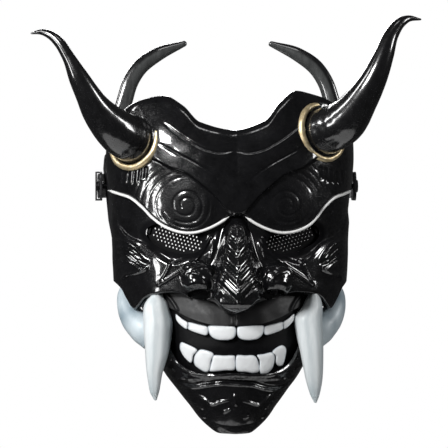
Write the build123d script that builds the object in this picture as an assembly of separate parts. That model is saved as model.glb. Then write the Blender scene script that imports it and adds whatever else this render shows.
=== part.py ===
from build123d import *
import os
from math import asin, atan2, cos, degrees, radians, sin

os.makedirs("parts", exist_ok=True)

# Frame: the face looks along -Y, +X is to the viewer's right and +Z is up. The origin is the point
# between the wearer's brows that the forehead rests behind. All sizes are in millimetres.

# Moulded shells. A level is (height, half width, front y, side y): a half ellipse from side to side.
SHELL_WALL = 3.0
FACE_LEVELS = [
    (-66, 82, -30, 40),
    (-45, 88, -29, 42),
    (-25, 90, -26, 42),
    (0, 91.5, -22, 42),
    (30, 94.5, -19, 43),
    (60, 97.5, -15, 44),
    (90, 96.5, -9, 46),
    (118, 92, -2, 48),
]
JAW_LEVELS = [
    (-152, 12, -28, -15),
    (-149, 17, -29, -11),
    (-141, 26, -31, -4),
    (-131, 34, -33, 3),
    (-119, 43.5, -34, 10),
    (-105, 54, -35, 17),
    (-85, 63, -35, 23),
    (-60, 69, -31, 29),
    (-45, 74, -24.5, 33),
    (-34, 76, -21, 34),
]
SECTION_STEPS = [-1, -0.9, -0.75, -0.52, -0.27, 0, 0.27, 0.52, 0.75, 0.9, 1]
CLOSED_TURN = radians(90)
OPEN_TURN = radians(98)

# Upper edge of the face from the left ear over the notched brow to the right ear, in x and z.
BROW_EDGE = [
    (-100, 60), (-97, 78), (-88, 94), (-70, 105), (-54, 109), (-39, 101), (-26, 88),
    (0, 82),
    (24, 89), (36, 103), (50, 113), (68, 108), (88, 95), (97, 78), (100, 60),
]
# Half of the lower edge of the face, from the side inwards. The nose hangs below it in the middle.
CHEEK_EDGE = [(100, -30), (90, -36), (68, -57), (60, -57), (54, -40)]

# Eyelids stand out over the face and overhang each eye along their lower rim.
LID_LAYER = 6.0
LID_RIM = [(6, 15), (14, 9), (28, 3), (42, 5), (54, 12), (70, 27), (86, 34)]
LID_TOP = [(86, 34), (76, 50), (61, 57), (37, 46), (16, 28), (6, 15)]

NOSE_LEVELS = [(16, 7, -26), (-10, 12, -40), (-36, 21, -54), (-50, 22, -57), (-58, 13, -48)]
NOSTRIL_RADIUS = 9.5
NOSTRIL_CENTRE = (29, -31, -33)

EYE_CENTRE = (46, -2)
EYE_HALF = (22, 10.5)
EYE_TILT = 15
SCREEN_HALF = (25, 13.5)
SCREEN_THICK = 1.2
SCREEN_DEPTH = 7.5
SCREEN_HOLE = 0.75
SCREEN_PITCH = 3.0
SCREEN_MARGIN = 1.5

MOUTH_TOP = [(50, -55), (33, -63.2), (18, -67.4), (0, -68.6)]
MOUTH_BOTTOM = [(50, -84), (42, -97.5), (30, -103.8), (15, -104.8), (0, -104)]
GUM_INSET = 3.3
GUM_THICK = 3.0
GUM_HALF_WIDTH = 52
GUM_HEIGHTS = (-113, -50)
GUM_CORNER = 5
# Teeth of one side: (inner x, outer x, lower z, upper z).
UPPER_TEETH = [(0.9, 20.0, -78.3, -68.6), (21.0, 35.0, -75.2, -66.4), (36.0, 44.8, -71.4, -62.2)]
LOWER_TEETH = [(0.8, 17.4, -104.2, -91.0), (18.2, 30.0, -103.8, -88.2), (30.8, 41.0, -98.0, -82.6)]
TOOTH_INSET = 0.8
TOOTH_DEPTH = 4.0

# Horns, fangs and tusks are swept round sections: (x, y, z, radius).
LEFT_FRONT_HORN = [
    (-72.4, 10.5, 71.7, 19.2), (-75.8, 6.3, 73.4, 18.9), (-88.5, -8, 80, 17.2), (-105.2, -20, 96.5, 12.4),
    (-112.9, -25, 109.3, 9.6), (-119.2, -27, 120.9, 7.9), (-127.7, -27, 137.6, 4.9),
    (-134.6, -25, 148.4, 4.2), (-140.3, -23, 153.5, 3.5), (-147.6, -21, 156.2, 2.4),
    (-155.2, -20, 155.2, 0.8),
]
RIGHT_FRONT_HORN = [
    (66.1, 8.0, 78.9, 19.2), (69.5, 3.8, 80.1, 18.9), (84.5, -11, 87.5, 17.4), (98, -23, 105.4, 12.9),
    (106.2, -28, 120.1, 10.4), (114, -29, 138.7, 8.0), (120.3, -27, 155, 5.8), (127.4, -25, 163.9, 4.2),
    (133.7, -23, 167, 2.7), (143.1, -21, 166.6, 0.8),
]
RING_RADIUS = 21.2
RING_TUBE = 2.7
REAR_HORN = [
    (88.2, 60, 48, 6.8), (88.6, 62, 68, 7.0), (86.8, 66, 90, 6.9), (82.5, 69, 108, 6.7),
    (78.5, 71, 120.5, 6.6), (70.5, 73, 133, 6.5), (57, 75, 143, 5.8), (35, 77, 152, 2.4),
]
# Fangs hang straight: (z, x, y, half width, half depth).
LEFT_FANG = [
    (-47, -59.4, -6, 7.5, 7), (-54, -59.8, -9, 9.6, 8.6), (-68, -58.6, -12.5, 11.2, 9.8),
    (-88.5, -59.4, -16, 9.2, 8.6), (-107.7, -61.4, -18, 5.6, 5.6), (-119.3, -61.4, -18.5, 3.6, 3.6),
    (-124.8, -60.8, -18.5, 1.4, 1.4),
]
RIGHT_FANG = [
    (-46, 62, -6, 6.5, 7), (-54, 61, -9, 7.8, 8.6), (-64, 57.4, -11.5, 11, 9.8), (-76, 58.4, -14, 10.3, 9.4),
    (-90.7, 60, -16.5, 8.8, 8.4), (-109, 61.4, -18, 6.7, 6.5), (-122.8, 62.2, -18.5, 3.4, 3.4),
    (-127.2, 62.5, -18.5, 1.4, 1.4),
]
TUSK = [
    (62, 4, -82, 9.0), (68.5, 8, -73.5, 11.5), (76.5, 14, -65.5, 10.0), (82, 20, -54.5, 7.6),
    (83.5, 27, -44.5, 4.8), (80.5, 33, -37, 1.6),
]

# Side panels: each level is (z, half width of the face there), with the panel just inside it.
PANEL_WALL = 2.2
PANEL_FRONT_Y = 30
PANEL_BEND_Y = 43
PANEL_REAR_Y = 82
PANEL_FLARE = 3.0
PANEL_LEVELS = [(-24, 90), (0, 91.5), (30, 94.5), (60, 97.5), (76, 97.5)]
PANEL_EDGE = [(30, -18), (44, -18), (70, -8), (82, 10), (82, 52), (70, 62), (44, 68), (30, 68)]
PANEL_RIVETS = [(37, -8), (37, 24), (37, 56)]
REAR_HORN_SCREWS = [(60, 50), (61.5, 60)]

# Head strap: a flat band that leaves each tab straight back and runs round the back of the head.
# The tabs hang on a rivet at each side, so the whole strap swings about the line through both.
STRAP_Z = 38
STRAP_WIDTH = 20
STRAP_THICK = 1.6
STRAP_START_Y = 81
STRAP_BACK_Y = 198
STRAP_CORNER = 70
PIVOT_Y = 74
PIVOT_RADIUS = 2.5
PIVOT_CLEARANCE = 0.05
TAB_INNER_X = 100.5
TAB_THICK = 2.0
TAB_HALF_HEIGHT = 11.5
TAB_REAR_Y = 92
STRAP_RIVET_Y = 87
STRAP_RIVET_HEAD = 3.6
STRAP_RIVET_FLANGE = 0.6
SLIDER_Y = 101
SLIDER_LENGTH = 15
SLIDER_HEIGHT = 23.5
SLIDER_THICK = 5.0

PAD_GAP = 0.4
PAD_THICK = 7.0


def cross_section(level, inset, turn):
    """A horizontal slice of a shell, inset all round, running to the given turn at each side."""
    z, half, front, side = level
    half -= inset
    depth = side - front - inset
    points = [(half * sin(k * turn), side - depth * cos(k * turn)) for k in SECTION_STEPS]
    with BuildSketch(Plane.XY.offset(z)) as sketch:
        with BuildLine():
            Spline(*points)
            Line(points[-1], points[0])
        make_face()
    return sketch.sketch


def body(levels, inset, turn=CLOSED_TURN):
    return loft([cross_section(level, inset, turn) for level in levels], ruled=True)


def hollow(levels, inset):
    """The space inside a shell's wall, which runs out behind the shell's open back."""
    below = (levels[0][0] - 3, *levels[0][1:])
    above = (levels[-1][0] + 3, *levels[-1][1:])
    return body([below, *levels, above], inset, OPEN_TURN)


def layer(levels, inset, thick):
    """A curved sheet between two insets of the same body, open at the back."""
    return body(levels, inset) - hollow(levels, inset + thick)


def mirrored(points):
    return [(-x, z) for x, z in reversed(points)]


def front_prism(face):
    """A shape drawn in x and z, carried right through the mask along Y."""
    return extrude(Plane.XZ * face, 100, both=True)


def outline(*lines):
    return make_face(Curve() + list(lines))


def level_at(levels, z):
    """The half width, front y and side y of a shell at height z."""
    lower = max((level for level in levels if level[0] <= z), key=lambda level: level[0])
    upper = min((level for level in levels if level[0] > z), key=lambda level: level[0])
    part = (z - lower[0]) / (upper[0] - lower[0])
    return [a + (b - a) * part for a, b in zip(lower[1:], upper[1:])]


def surface(levels, x, z):
    """The y of a shell's outer surface at x and z, and the yaw of its outward normal in degrees."""
    half, front, side = level_at(levels, z)
    angle = asin(x / half)
    depth = side - front
    yaw = degrees(atan2(sin(angle) / half, cos(angle) / depth))
    return side - depth * cos(angle), yaw


def swept(stations):
    """A solid through round sections square to the path at each station."""
    points = [Vector(*station[:3]) for station in stations]
    sections = []
    for i, station in enumerate(stations):
        ahead = points[min(i + 1, len(points) - 1)]
        behind = points[max(i - 1, 0)]
        plane = Plane(points[i], x_dir=(0, 1, 0.01), z_dir=ahead - behind)
        sections.append(plane * Circle(station[3]))
    return loft(sections)


def root_plane(stations):
    """The plane of a horn's second station, looking out along the horn."""
    root, seat = Vector(*stations[0][:3]), Vector(*stations[1][:3])
    return Plane(seat, z_dir=seat - root)


def fang(stations):
    return loft([Pos(x, y, z) * Ellipse(rx, ry) for z, x, y, rx, ry in stations])


def face_shell():
    edge = outline(
        Spline(*BROW_EDGE),
        Polyline(BROW_EDGE[-1], *CHEEK_EDGE, *mirrored(CHEEK_EDGE), BROW_EDGE[0]),
    )
    lid = outline(Spline(*LID_RIM), Spline(*LID_TOP))
    solid = (body(FACE_LEVELS, 0) & front_prism(edge)) + nose()
    for plan in (lid, mirror(lid, Plane.YZ)):
        solid += body(FACE_LEVELS, -LID_LAYER) & front_prism(plan)
    solid -= hollow(FACE_LEVELS, SHELL_WALL)
    for side in (-1, 1):
        eye = Pos(side * EYE_CENTRE[0], EYE_CENTRE[1]) * Rot(0, 0, side * EYE_TILT) * Ellipse(*EYE_HALF)
        solid -= front_prism(eye)
    return solid


def nose():
    sections = []
    for z, half, front in NOSE_LEVELS:
        back = -20 if z > -40 else -33
        with BuildSketch(Plane.XY.offset(z)) as sketch:
            with BuildLine():
                Spline((-half, back), (-half * 0.45, (front * 3 + back) / 4), (0, front),
                       (half * 0.45, (front * 3 + back) / 4), (half, back))
                Line((half, back), (-half, back))
            make_face()
        sections.append(sketch.sketch)
    solid = loft(sections)
    for side in (-1, 1):
        solid += Pos(side * NOSTRIL_CENTRE[0], *NOSTRIL_CENTRE[1:]) * Sphere(NOSTRIL_RADIUS)
    return solid


def jaw_shell():
    mouth = outline(
        Spline(*MOUTH_TOP, *mirrored(MOUTH_TOP)[1:]),
        Line(mirrored(MOUTH_TOP)[-1], mirrored(MOUTH_BOTTOM)[-1]),
        Spline(*reversed(mirrored(MOUTH_BOTTOM)), *reversed(MOUTH_BOTTOM[:-1])),
        Line(MOUTH_BOTTOM[0], MOUTH_TOP[0]),
    )
    return layer(JAW_LEVELS, 0, SHELL_WALL) - front_prism(mouth)


def gum_plate():
    low, high = GUM_HEIGHTS
    patch = Pos(0, (low + high) / 2) * RectangleRounded(2 * GUM_HALF_WIDTH, high - low, GUM_CORNER)
    return layer(JAW_LEVELS, GUM_INSET, GUM_THICK) & front_prism(patch)


def teeth(row):
    solids = []
    for inner, outer, low, high in row:
        for side in (-1, 1):
            x, z = side * (inner + outer) / 2, (low + high) / 2
            y, yaw = surface(JAW_LEVELS, x, z)
            width = (outer - inner) / cos(radians(yaw))
            tooth = Pos(0, TOOTH_INSET + TOOTH_DEPTH / 2) * Box(width, TOOTH_DEPTH, high - low)
            tooth = fillet(tooth.edges().group_by(Axis.Y)[0], 1.1)
            solids.append(Pos(x, y, z) * Rot(0, 0, yaw) * tooth)
    return solids


def ring(stations):
    return root_plane(stations) * Torus(RING_RADIUS, RING_TUBE)


def eye_plane(side):
    """The shell at an eye's middle, turned so that the eye's outer end is the higher one."""
    x, z = side * EYE_CENTRE[0], EYE_CENTRE[1]
    y, yaw = surface(FACE_LEVELS, x, z)
    return Pos(x, y, z) * Rot(0, 0, yaw) * Rot(0, -side * EYE_TILT, 0)


def eye_screen(side):
    plate = RectangleRounded(2 * SCREEN_HALF[0], 2 * SCREEN_HALF[1], 9)
    row_step = SCREEN_PITCH * cos(radians(30))
    reach_x, reach_z = EYE_HALF[0] - SCREEN_MARGIN, EYE_HALF[1] - SCREEN_MARGIN
    holes = []
    for row in range(-3, 4):
        for column in range(-7, 8):
            x = (column + (row % 2) / 2) * SCREEN_PITCH
            z = row * row_step
            if (x / reach_x) ** 2 + (z / reach_z) ** 2 < 1:
                holes.append(Pos(x, z) * Circle(SCREEN_HOLE))
    plate -= holes
    sheet = extrude(Plane.XZ * plate, SCREEN_THICK)
    return eye_plane(side) * Pos(0, SCREEN_DEPTH, 0) * sheet


def eye_clips():
    clips = []
    for side in (-1, 1):
        for end in (-1, 1):
            post = Pos(end * (SCREEN_HALF[0] - 1.5), SCREEN_DEPTH - 0.4, 0) * Box(3, 5, 5)
            clips.append(eye_plane(side) * post)
    return clips


def side_panel(side):
    sections = []
    for z, half in PANEL_LEVELS:
        shoulder, bend, rear = 0.98 * half - 3.5, half - 3.5, half + PANEL_FLARE
        outer = [(shoulder, PANEL_FRONT_Y), (bend, PANEL_BEND_Y), (rear, PANEL_REAR_Y)]
        inner = [(x - PANEL_WALL, y) for x, y in reversed(outer)]
        points = [(side * x, y) for x, y in outer + inner]
        sections.append(Plane.XY.offset(z) * make_face(Polyline(*points, close=True)))
    panel = loft(sections, ruled=True)
    edge = make_face(Polyline(*PANEL_EDGE, close=True))
    panel &= extrude(Plane.YZ * edge, 120, both=True)
    boss_length = TAB_INNER_X - 0.4 - 94
    boss = Pos(side * (94 + boss_length / 2), PIVOT_Y, STRAP_Z) * Rot(0, 90, 0) * Cylinder(6.5, boss_length)
    return panel + boss


def across(x, y, z, radius, length):
    """A round bar along X, centred at x, y and z."""
    return Pos(x, y, z) * Rot(0, 90, 0) * Cylinder(radius, length)


def panel_rivets():
    rivets = []
    for side in (-1, 1):
        for y, z in PANEL_RIVETS:
            x = side * (level_at(FACE_LEVELS, z)[0] - 3.8)
            rivets.append(across(x, y, z, 1.6, 6.6) + across(x - side * 3.6, y, z, 3.2, 1.2))
    return rivets


def pivot_rivet(side):
    outer = TAB_INNER_X + TAB_THICK + 0.3
    shaft = Pos(0, 0, (96 + outer) / 2) * Cylinder(PIVOT_RADIUS, outer - 96)
    head = Pos(0, 0, outer + 0.75) * Cylinder(5, 1.5)
    head = fillet(head.edges().sort_by(Axis.Z)[-1:], 0.7)
    return Pos(0, PIVOT_Y, STRAP_Z) * Rot(0, side * 90, 0) * (shaft + head)


def strap_tab(side):
    front_y = PIVOT_Y - 8
    plate = Pos((front_y + TAB_REAR_Y) / 2, STRAP_Z) * RectangleRounded(TAB_REAR_Y - front_y, 2 * TAB_HALF_HEIGHT, 5)
    plate -= Pos(PIVOT_Y, STRAP_Z) * Circle(PIVOT_RADIUS + PIVOT_CLEARANCE)
    plate -= Pos(STRAP_RIVET_Y, STRAP_Z) * Circle(2)
    return Pos(side * TAB_INNER_X, 0, 0) * extrude(Plane.YZ * plate, side * TAB_THICK)


def head_strap():
    x = TAB_INNER_X + TAB_THICK + STRAP_THICK / 2
    corners = [(-x, STRAP_START_Y), (-x, STRAP_BACK_Y), (x, STRAP_BACK_Y), (x, STRAP_START_Y)]
    band = trace(FilletPolyline(*corners, radius=STRAP_CORNER), STRAP_THICK)
    strap = Pos(0, 0, STRAP_Z - STRAP_WIDTH / 2) * extrude(band, STRAP_WIDTH)
    for side in (-1, 1):
        strap -= across(side * x, STRAP_RIVET_Y, STRAP_Z, 2, 3)
        strap -= across(side * x, PIVOT_Y, STRAP_Z, 8, 3)
    return strap


def strap_rivets():
    inner, outer = TAB_INNER_X, TAB_INNER_X + TAB_THICK + STRAP_THICK
    rivets = []
    for side in (-1, 1):
        shaft = across(side * (inner + outer) / 2, STRAP_RIVET_Y, STRAP_Z, 2, outer - inner)
        heads = across(side * (outer + 0.5), STRAP_RIVET_Y, STRAP_Z, STRAP_RIVET_HEAD, 1)
        flange_x = side * (inner - STRAP_RIVET_FLANGE / 2)
        heads += across(flange_x, STRAP_RIVET_Y, STRAP_Z, STRAP_RIVET_HEAD, STRAP_RIVET_FLANGE)
        rivets.append(shaft + heads)
    return rivets


def strap_slider():
    block = fillet(Box(SLIDER_THICK, SLIDER_LENGTH, SLIDER_HEIGHT).edges().filter_by(Axis.X), 2)
    block -= Box(STRAP_THICK + 0.8, SLIDER_LENGTH + 2, STRAP_WIDTH + 0.8)
    for y in (-3.4, 3.4):
        block -= Pos(-SLIDER_THICK / 2, y, 0) * Box(SLIDER_THICK, 3, STRAP_WIDTH - 2)
    return Pos(-TAB_INNER_X - TAB_THICK - STRAP_THICK / 2, SLIDER_Y, STRAP_Z) * block


def horn_screws(seats):
    screws = []
    for plane in seats:
        shaft = Pos(0, 0, 0.35) * Cylinder(2, 15.3)
        head = Pos(0, 0, -8.6) * Cylinder(3.8, 2.6)
        screws.append(plane * (shaft + head))
    return screws


def horn_washers(seats):
    return [plane * Pos(0, 0, -6.6) * (Cylinder(8, 1.4) - Cylinder(2.05, 2)) for plane in seats]


def rear_horn_screws():
    screws = []
    for side in (-1, 1):
        for y, z in REAR_HORN_SCREWS:
            rear = (y - PANEL_BEND_Y) / (PANEL_REAR_Y - PANEL_BEND_Y) * (PANEL_FLARE + 3.5)
            outer = level_at(FACE_LEVELS, z)[0] - 3.5 + rear
            screw = across(side * (outer - 4.5), y, z, 1.5, 10) + across(side * (outer + 0.7), y, z, 3.2, 1.4)
            screws.append(screw)
    return screws


def jaw_screws():
    screws = []
    for x in (-58, -20, 20, 58):
        z = -44 if abs(x) > 40 else -37
        y, yaw = surface(FACE_LEVELS, x, z)
        shaft = Pos(0, 7.5, 0) * Rot(90, 0, 0) * Cylinder(1.5, 13)
        head = Pos(0, 14.9, 0) * Rot(90, 0, 0) * Cylinder(3.2, 2)
        screws.append(Pos(x, y, z) * Rot(0, 0, yaw) * (shaft + head))
    return screws


def forehead_pad():
    patch = Pos(0, 56) * RectangleRounded(92, 32, 12)
    return layer(FACE_LEVELS, SHELL_WALL + PAD_GAP, PAD_THICK) & front_prism(patch)


def cheek_pad(side):
    patch = Pos(24, 2) * RectangleRounded(24, 34, 8)
    pad = layer(FACE_LEVELS, SHELL_WALL + PAD_GAP + 3, PAD_THICK) & extrude(Plane.YZ * patch, side * 120)
    return pad


def write(name, shape):
    solids = shape if isinstance(shape, list) else [shape]
    compound = Compound(children=[solid for item in solids for solid in item.solids()])
    compound.label = name
    export_step(compound, f"parts/{name}.step")


write("face_shell", face_shell())
write("jaw_shell", jaw_shell())
write("gum_plate", gum_plate())
write("upper_teeth", teeth(UPPER_TEETH))
write("lower_teeth", teeth(LOWER_TEETH))
write("left_front_horn", swept(LEFT_FRONT_HORN))
write("right_front_horn", swept(RIGHT_FRONT_HORN))
write("left_horn_ring", ring(LEFT_FRONT_HORN))
write("right_horn_ring", ring(RIGHT_FRONT_HORN))
write("left_rear_horn", swept([(-x, *rest) for x, *rest in REAR_HORN]))
write("right_rear_horn", swept(REAR_HORN))
write("left_fang", fang(LEFT_FANG))
write("right_fang", fang(RIGHT_FANG))
write("left_tusk", swept([(-x, *rest) for x, *rest in TUSK]))
write("right_tusk", swept(TUSK))
write("left_eye_screen", eye_screen(-1))
write("right_eye_screen", eye_screen(1))
write("eye_screen_clips", eye_clips())
write("left_side_panel", side_panel(-1))
write("right_side_panel", side_panel(1))
write("side_panel_rivets", panel_rivets())
write("left_pivot_rivet", pivot_rivet(-1))
write("right_pivot_rivet", pivot_rivet(1))
write("left_strap_tab", strap_tab(-1))
write("right_strap_tab", strap_tab(1))
write("head_strap", head_strap())
write("strap_rivets", strap_rivets())
write("strap_slider", strap_slider())
horn_seats = [root_plane(LEFT_FRONT_HORN), root_plane(RIGHT_FRONT_HORN)]
write("horn_screws", horn_screws(horn_seats))
write("horn_washers", horn_washers(horn_seats))
write("rear_horn_screws", rear_horn_screws())
write("jaw_screws", jaw_screws())
write("forehead_pad", forehead_pad())
write("left_cheek_pad", cheek_pad(-1))
write("right_cheek_pad", cheek_pad(1))
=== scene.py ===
import math

import bmesh
import bpy
import numpy as np
from mathutils import Matrix, Vector

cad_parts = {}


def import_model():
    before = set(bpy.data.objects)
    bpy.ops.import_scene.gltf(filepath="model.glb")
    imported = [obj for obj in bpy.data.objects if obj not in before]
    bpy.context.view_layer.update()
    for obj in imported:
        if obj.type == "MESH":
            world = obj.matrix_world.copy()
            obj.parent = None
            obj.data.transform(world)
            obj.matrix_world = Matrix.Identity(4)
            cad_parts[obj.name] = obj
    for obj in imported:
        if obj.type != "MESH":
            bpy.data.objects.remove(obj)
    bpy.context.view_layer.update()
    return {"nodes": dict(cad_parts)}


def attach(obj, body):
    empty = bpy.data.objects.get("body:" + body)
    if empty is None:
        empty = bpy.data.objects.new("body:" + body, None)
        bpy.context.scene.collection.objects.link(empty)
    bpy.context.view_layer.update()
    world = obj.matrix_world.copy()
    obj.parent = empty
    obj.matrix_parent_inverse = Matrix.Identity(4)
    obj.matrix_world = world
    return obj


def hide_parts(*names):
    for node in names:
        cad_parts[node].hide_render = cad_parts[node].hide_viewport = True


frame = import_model()

# Shapes are worked out in millimetres, in the same frame as the CAD, and become metres in make().
MM = 0.001

# ------------------------------------------------------------------ sizes
# These are the CAD's, but for the cheek edge, nose, fang shoulder, ring swell and screen holes.
FACE_LEVELS = [
    (-66, 82, -30, 40), (-45, 88, -29, 42), (-25, 90, -26, 42), (0, 91.5, -22, 42),
    (30, 94.5, -19, 43), (60, 97.5, -15, 44), (90, 96.5, -9, 46), (118, 92, -2, 48),
]
JAW_LEVELS = [
    (-152, 12, -28, -15), (-149, 17, -29, -11), (-141, 26, -31, -4), (-131, 34, -33, 3),
    (-119, 43.5, -34, 10), (-105, 54, -35, 17), (-85, 63, -35, 23), (-60, 69, -31, 29),
    (-45, 74, -24.5, 33), (-34, 76, -21, 34),
]
WALL = 3.0
BROW_EDGE = [
    (-100, 60), (-97, 78), (-88, 94), (-70, 105), (-54, 109), (-39, 101), (-26, 88), (0, 82),
    (24, 89), (36, 103), (50, 113), (68, 108), (88, 95), (97, 78), (100, 60),
]
CHEEK_EDGE = [
    (0, -57.5), (8, -55), (17, -48), (27, -48.5), (34, -47), (40, -44), (47, -43.3), (54, -43.6),
    (58, -44.4), (62, -45.2), (66, -47.5), (70, -52), (74, -56.5), (79.5, -49), (84, -41), (91, -35.5),
    (100, -31),
]
NOSE_X = 1.3
NOSE_SHOULDER = 0.68
NOSE_LEVELS = [
    (-58, 14, -48), (-50, 22, -56), (-36, 21, -54), (-10, 13.5, -40), (6, 10, -30), (14, 8, -21),
    (20, 6, -10),
]
NOSTRILS = [(-27, -30, -31), (30, -30, -33)]
NOSTRIL_RADIUS = 12.5
EYE_CENTRE = (46, -2)
EYE_HALF = (22, 10.5)
EYE_TILT = 15
SCREEN_HALF = (25, 13.5)
SCREEN_DEPTH = 7.5
SCREEN_PITCH = 3.0
SCREEN_THICK = 1.2
SCREEN_MARGIN = 1.5
# Hole radii chosen so that the dots look as dim as they should; the CAD has 0.75 on both sides.
LEFT_SCREEN_HOLE = 0.7
RIGHT_SCREEN_HOLE = 0.42
MOUTH_TOP = [(50, -55), (33, -63.2), (18, -67.4), (0, -68.6)]
MOUTH_BOTTOM = [(50, -84), (42, -97.5), (30, -103.8), (15, -104.8), (0, -104)]

LEFT_FRONT_HORN = [
    (-72.4, 10.5, 71.7, 19.2), (-75.8, 6.3, 73.4, 18.9), (-88.5, -8, 80, 17.2), (-105.2, -20, 96.5, 12.4),
    (-112.9, -25, 109.3, 9.6), (-119.2, -27, 120.9, 7.9), (-127.7, -27, 137.6, 4.9),
    (-134.6, -25, 148.4, 4.2), (-140.3, -23, 153.5, 3.5), (-147.6, -21, 156.2, 2.4),
    (-155.2, -20, 155.2, 0.8),
]
RIGHT_FRONT_HORN = [
    (66.1, 8.0, 78.9, 19.2), (69.5, 3.8, 80.1, 18.9), (84.5, -11, 87.5, 17.4), (98, -23, 105.4, 12.9),
    (106.2, -28, 120.1, 10.4), (114, -29, 138.7, 8.0), (120.3, -27, 155, 5.8), (127.4, -25, 163.9, 4.2),
    (133.7, -23, 167, 2.7), (143.1, -21, 166.6, 0.8),
]
REAR_HORN = [
    (88.2, 60, 48, 6.8), (88.6, 62, 68, 7.0), (86.8, 66, 90, 6.9), (82.5, 69, 108, 6.7),
    (78.5, 71, 120.5, 6.6), (70.5, 73, 133, 6.5), (57, 75, 143, 5.8), (35, 77, 152, 2.4),
]
TUSK = [
    (62, 4, -82, 9.0), (68.5, 8, -73.5, 11.5), (76.5, 14, -65.5, 10.0), (82, 20, -54.5, 7.6),
    (83.5, 27, -44.5, 4.8), (80.5, 33, -37, 1.6),
]
LEFT_FANG = [
    (-47, -59.4, -6, 7.5, 7), (-54, -59.8, -9, 9.6, 8.6), (-68, -58.6, -12.5, 11.2, 9.8),
    (-88.5, -59.4, -16, 9.2, 8.6), (-107.7, -61.4, -18, 5.6, 5.6), (-119.3, -61.4, -18.5, 3.6, 3.6),
    (-124.8, -60.8, -18.5, 1.4, 1.4),
]
RIGHT_FANG = [
    (-46, 62, -6, 6.5, 7), (-54, 61, -9, 7.8, 8.6), (-64, 57.4, -11.5, 11, 9.8), (-76, 58.4, -14, 10.3, 9.4),
    (-90.7, 60, -16.5, 8.8, 8.4), (-109, 61.4, -18, 6.7, 6.5), (-122.8, 62.2, -18.5, 3.4, 3.4),
    (-127.2, 62.5, -18.5, 1.4, 1.4),
]
FANG_SHOULDER = (56, 13)
RING_RADIUS = 21.2
RING_TUBE = 2.7
RING_SWELL = 1.1
PANEL_LEVELS = [(-24, 90), (0, 91.5), (30, 94.5), (60, 97.5), (76, 97.5)]
PANEL_WALL = 2.2
PANEL_FLARE = 3.0
TAB_INNER_X = 100.5
TAB_THICK = 2.0
STRAP_Z = 38
STRAP_WIDTH = 20
STRAP_THICK = 1.6
STRAP_START_Y = 81
STRAP_BACK_Y = 198
STRAP_CORNER = 70


# ------------------------------------------------------------------ curves and fields
def between(knots, values, slopes, at):
    """A cubic through values with the given slopes at rising knots."""
    i = np.clip(np.searchsorted(knots, at, side="right") - 1, 0, len(knots) - 2)
    width = knots[i + 1] - knots[i]
    t = (at - knots[i]) / width
    if values.ndim > 1:
        width, t = width[:, None], t[:, None]
    else:
        t = np.clip(t, 0, 1)
    rise = t * t * (3 - 2 * t)
    lean = t * (1 - t) ** 2 * slopes[i] - t * t * (1 - t) * slopes[i + 1]
    return values[i] * (1 - rise) + values[i + 1] * rise + width * lean


def flow(knots, values, at):
    """A smooth curve through the values at rising knots, without overshoot."""
    knots, values = np.asarray(knots, float), np.asarray(values, float)
    steps = np.diff(values) / np.diff(knots)
    slopes = np.empty_like(values)
    slopes[0], slopes[-1] = steps[0], steps[-1]
    before, after = steps[:-1], steps[1:]
    same_way = before * after > 0
    slopes[1:-1] = np.where(same_way, 2 * before * after / np.where(same_way, before + after, 1), 0)
    return between(knots, values, slopes, at)


def level_curves(levels, z):
    """The numbers of each level after its height, smoothly at heights z."""
    table = np.array(levels, float)
    return [flow(table[:, 0], table[:, k], z) for k in range(1, table.shape[1])]


def lengths(points):
    """How far along the path each point is."""
    return np.concatenate([[0], np.cumsum(np.linalg.norm(np.diff(points, axis=0), axis=1))])


def curve_points(points, count):
    """A smooth path through the points, evenly numbered along its length."""
    table = np.array(points, float)
    reach = lengths(table[:, :2])
    at = np.linspace(0, reach[-1], count)
    return between(reach, table, np.gradient(table, reach, axis=0), at)


def closed_curve(points, count):
    """A smooth closed outline through the points."""
    table = np.array(points, float)
    size = len(table)
    at = np.arange(count) * size / count
    i = at.astype(int)
    t = (at - i)[:, None]
    p0, p1 = table[(i - 1) % size], table[i % size]
    p2, p3 = table[(i + 1) % size], table[(i + 2) % size]
    return 0.5 * (2 * p1 + (p2 - p0) * t + (2 * p0 - 5 * p1 + 4 * p2 - p3) * t**2
                  + (3 * p1 - p0 - 3 * p2 + p3) * t**3)


def full_turn(count):
    """Angles spread evenly round a circle."""
    return np.linspace(0, 2 * math.pi, count, endpoint=False)


def distance(x, z, points):
    """The distance from each x, z to a line through the points, and how far along it the nearest point is."""
    line = np.asarray(points, float)
    best = np.full(np.shape(x), 1e9)
    along = np.zeros(np.shape(x))
    count = len(line) - 1
    for k in range(count):
        (ax, az), (bx, bz) = line[k], line[k + 1]
        dx, dz = bx - ax, bz - az
        t = np.clip(((x - ax) * dx + (z - az) * dz) / (dx * dx + dz * dz), 0, 1)
        gap = np.hypot(x - ax - t * dx, z - az - t * dz)
        nearer = gap < best
        best = np.where(nearer, gap, best)
        along = np.where(nearer, (k + t) / count, along)
    return best, along


def crest(x, z, points, width, taper=True):
    """1 on a smooth line through the points and 0 away from it, fading towards its ends."""
    line = curve_points(points, 8 * len(points)) if len(points) > 2 else points
    gap, along = distance(x, z, line)
    shape = np.exp(-((gap / width) ** 2))
    if taper:
        shape *= np.clip(4 * along, 0, 1) ** 0.5 * np.clip(4 * (1 - along), 0, 1) ** 0.5
    return shape


def ease(value, low, high):
    """0 below low, 1 above high and smooth between."""
    t = np.clip((value - low) / (high - low), 0, 1)
    return t * t * (3 - 2 * t)


def lowest(a, b, blend):
    """The smaller of two heights, with a fillet where they cross."""
    h = np.clip(blend - np.abs(a - b), 0, None) / blend
    return np.minimum(a, b) - h * h * blend / 4


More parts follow.
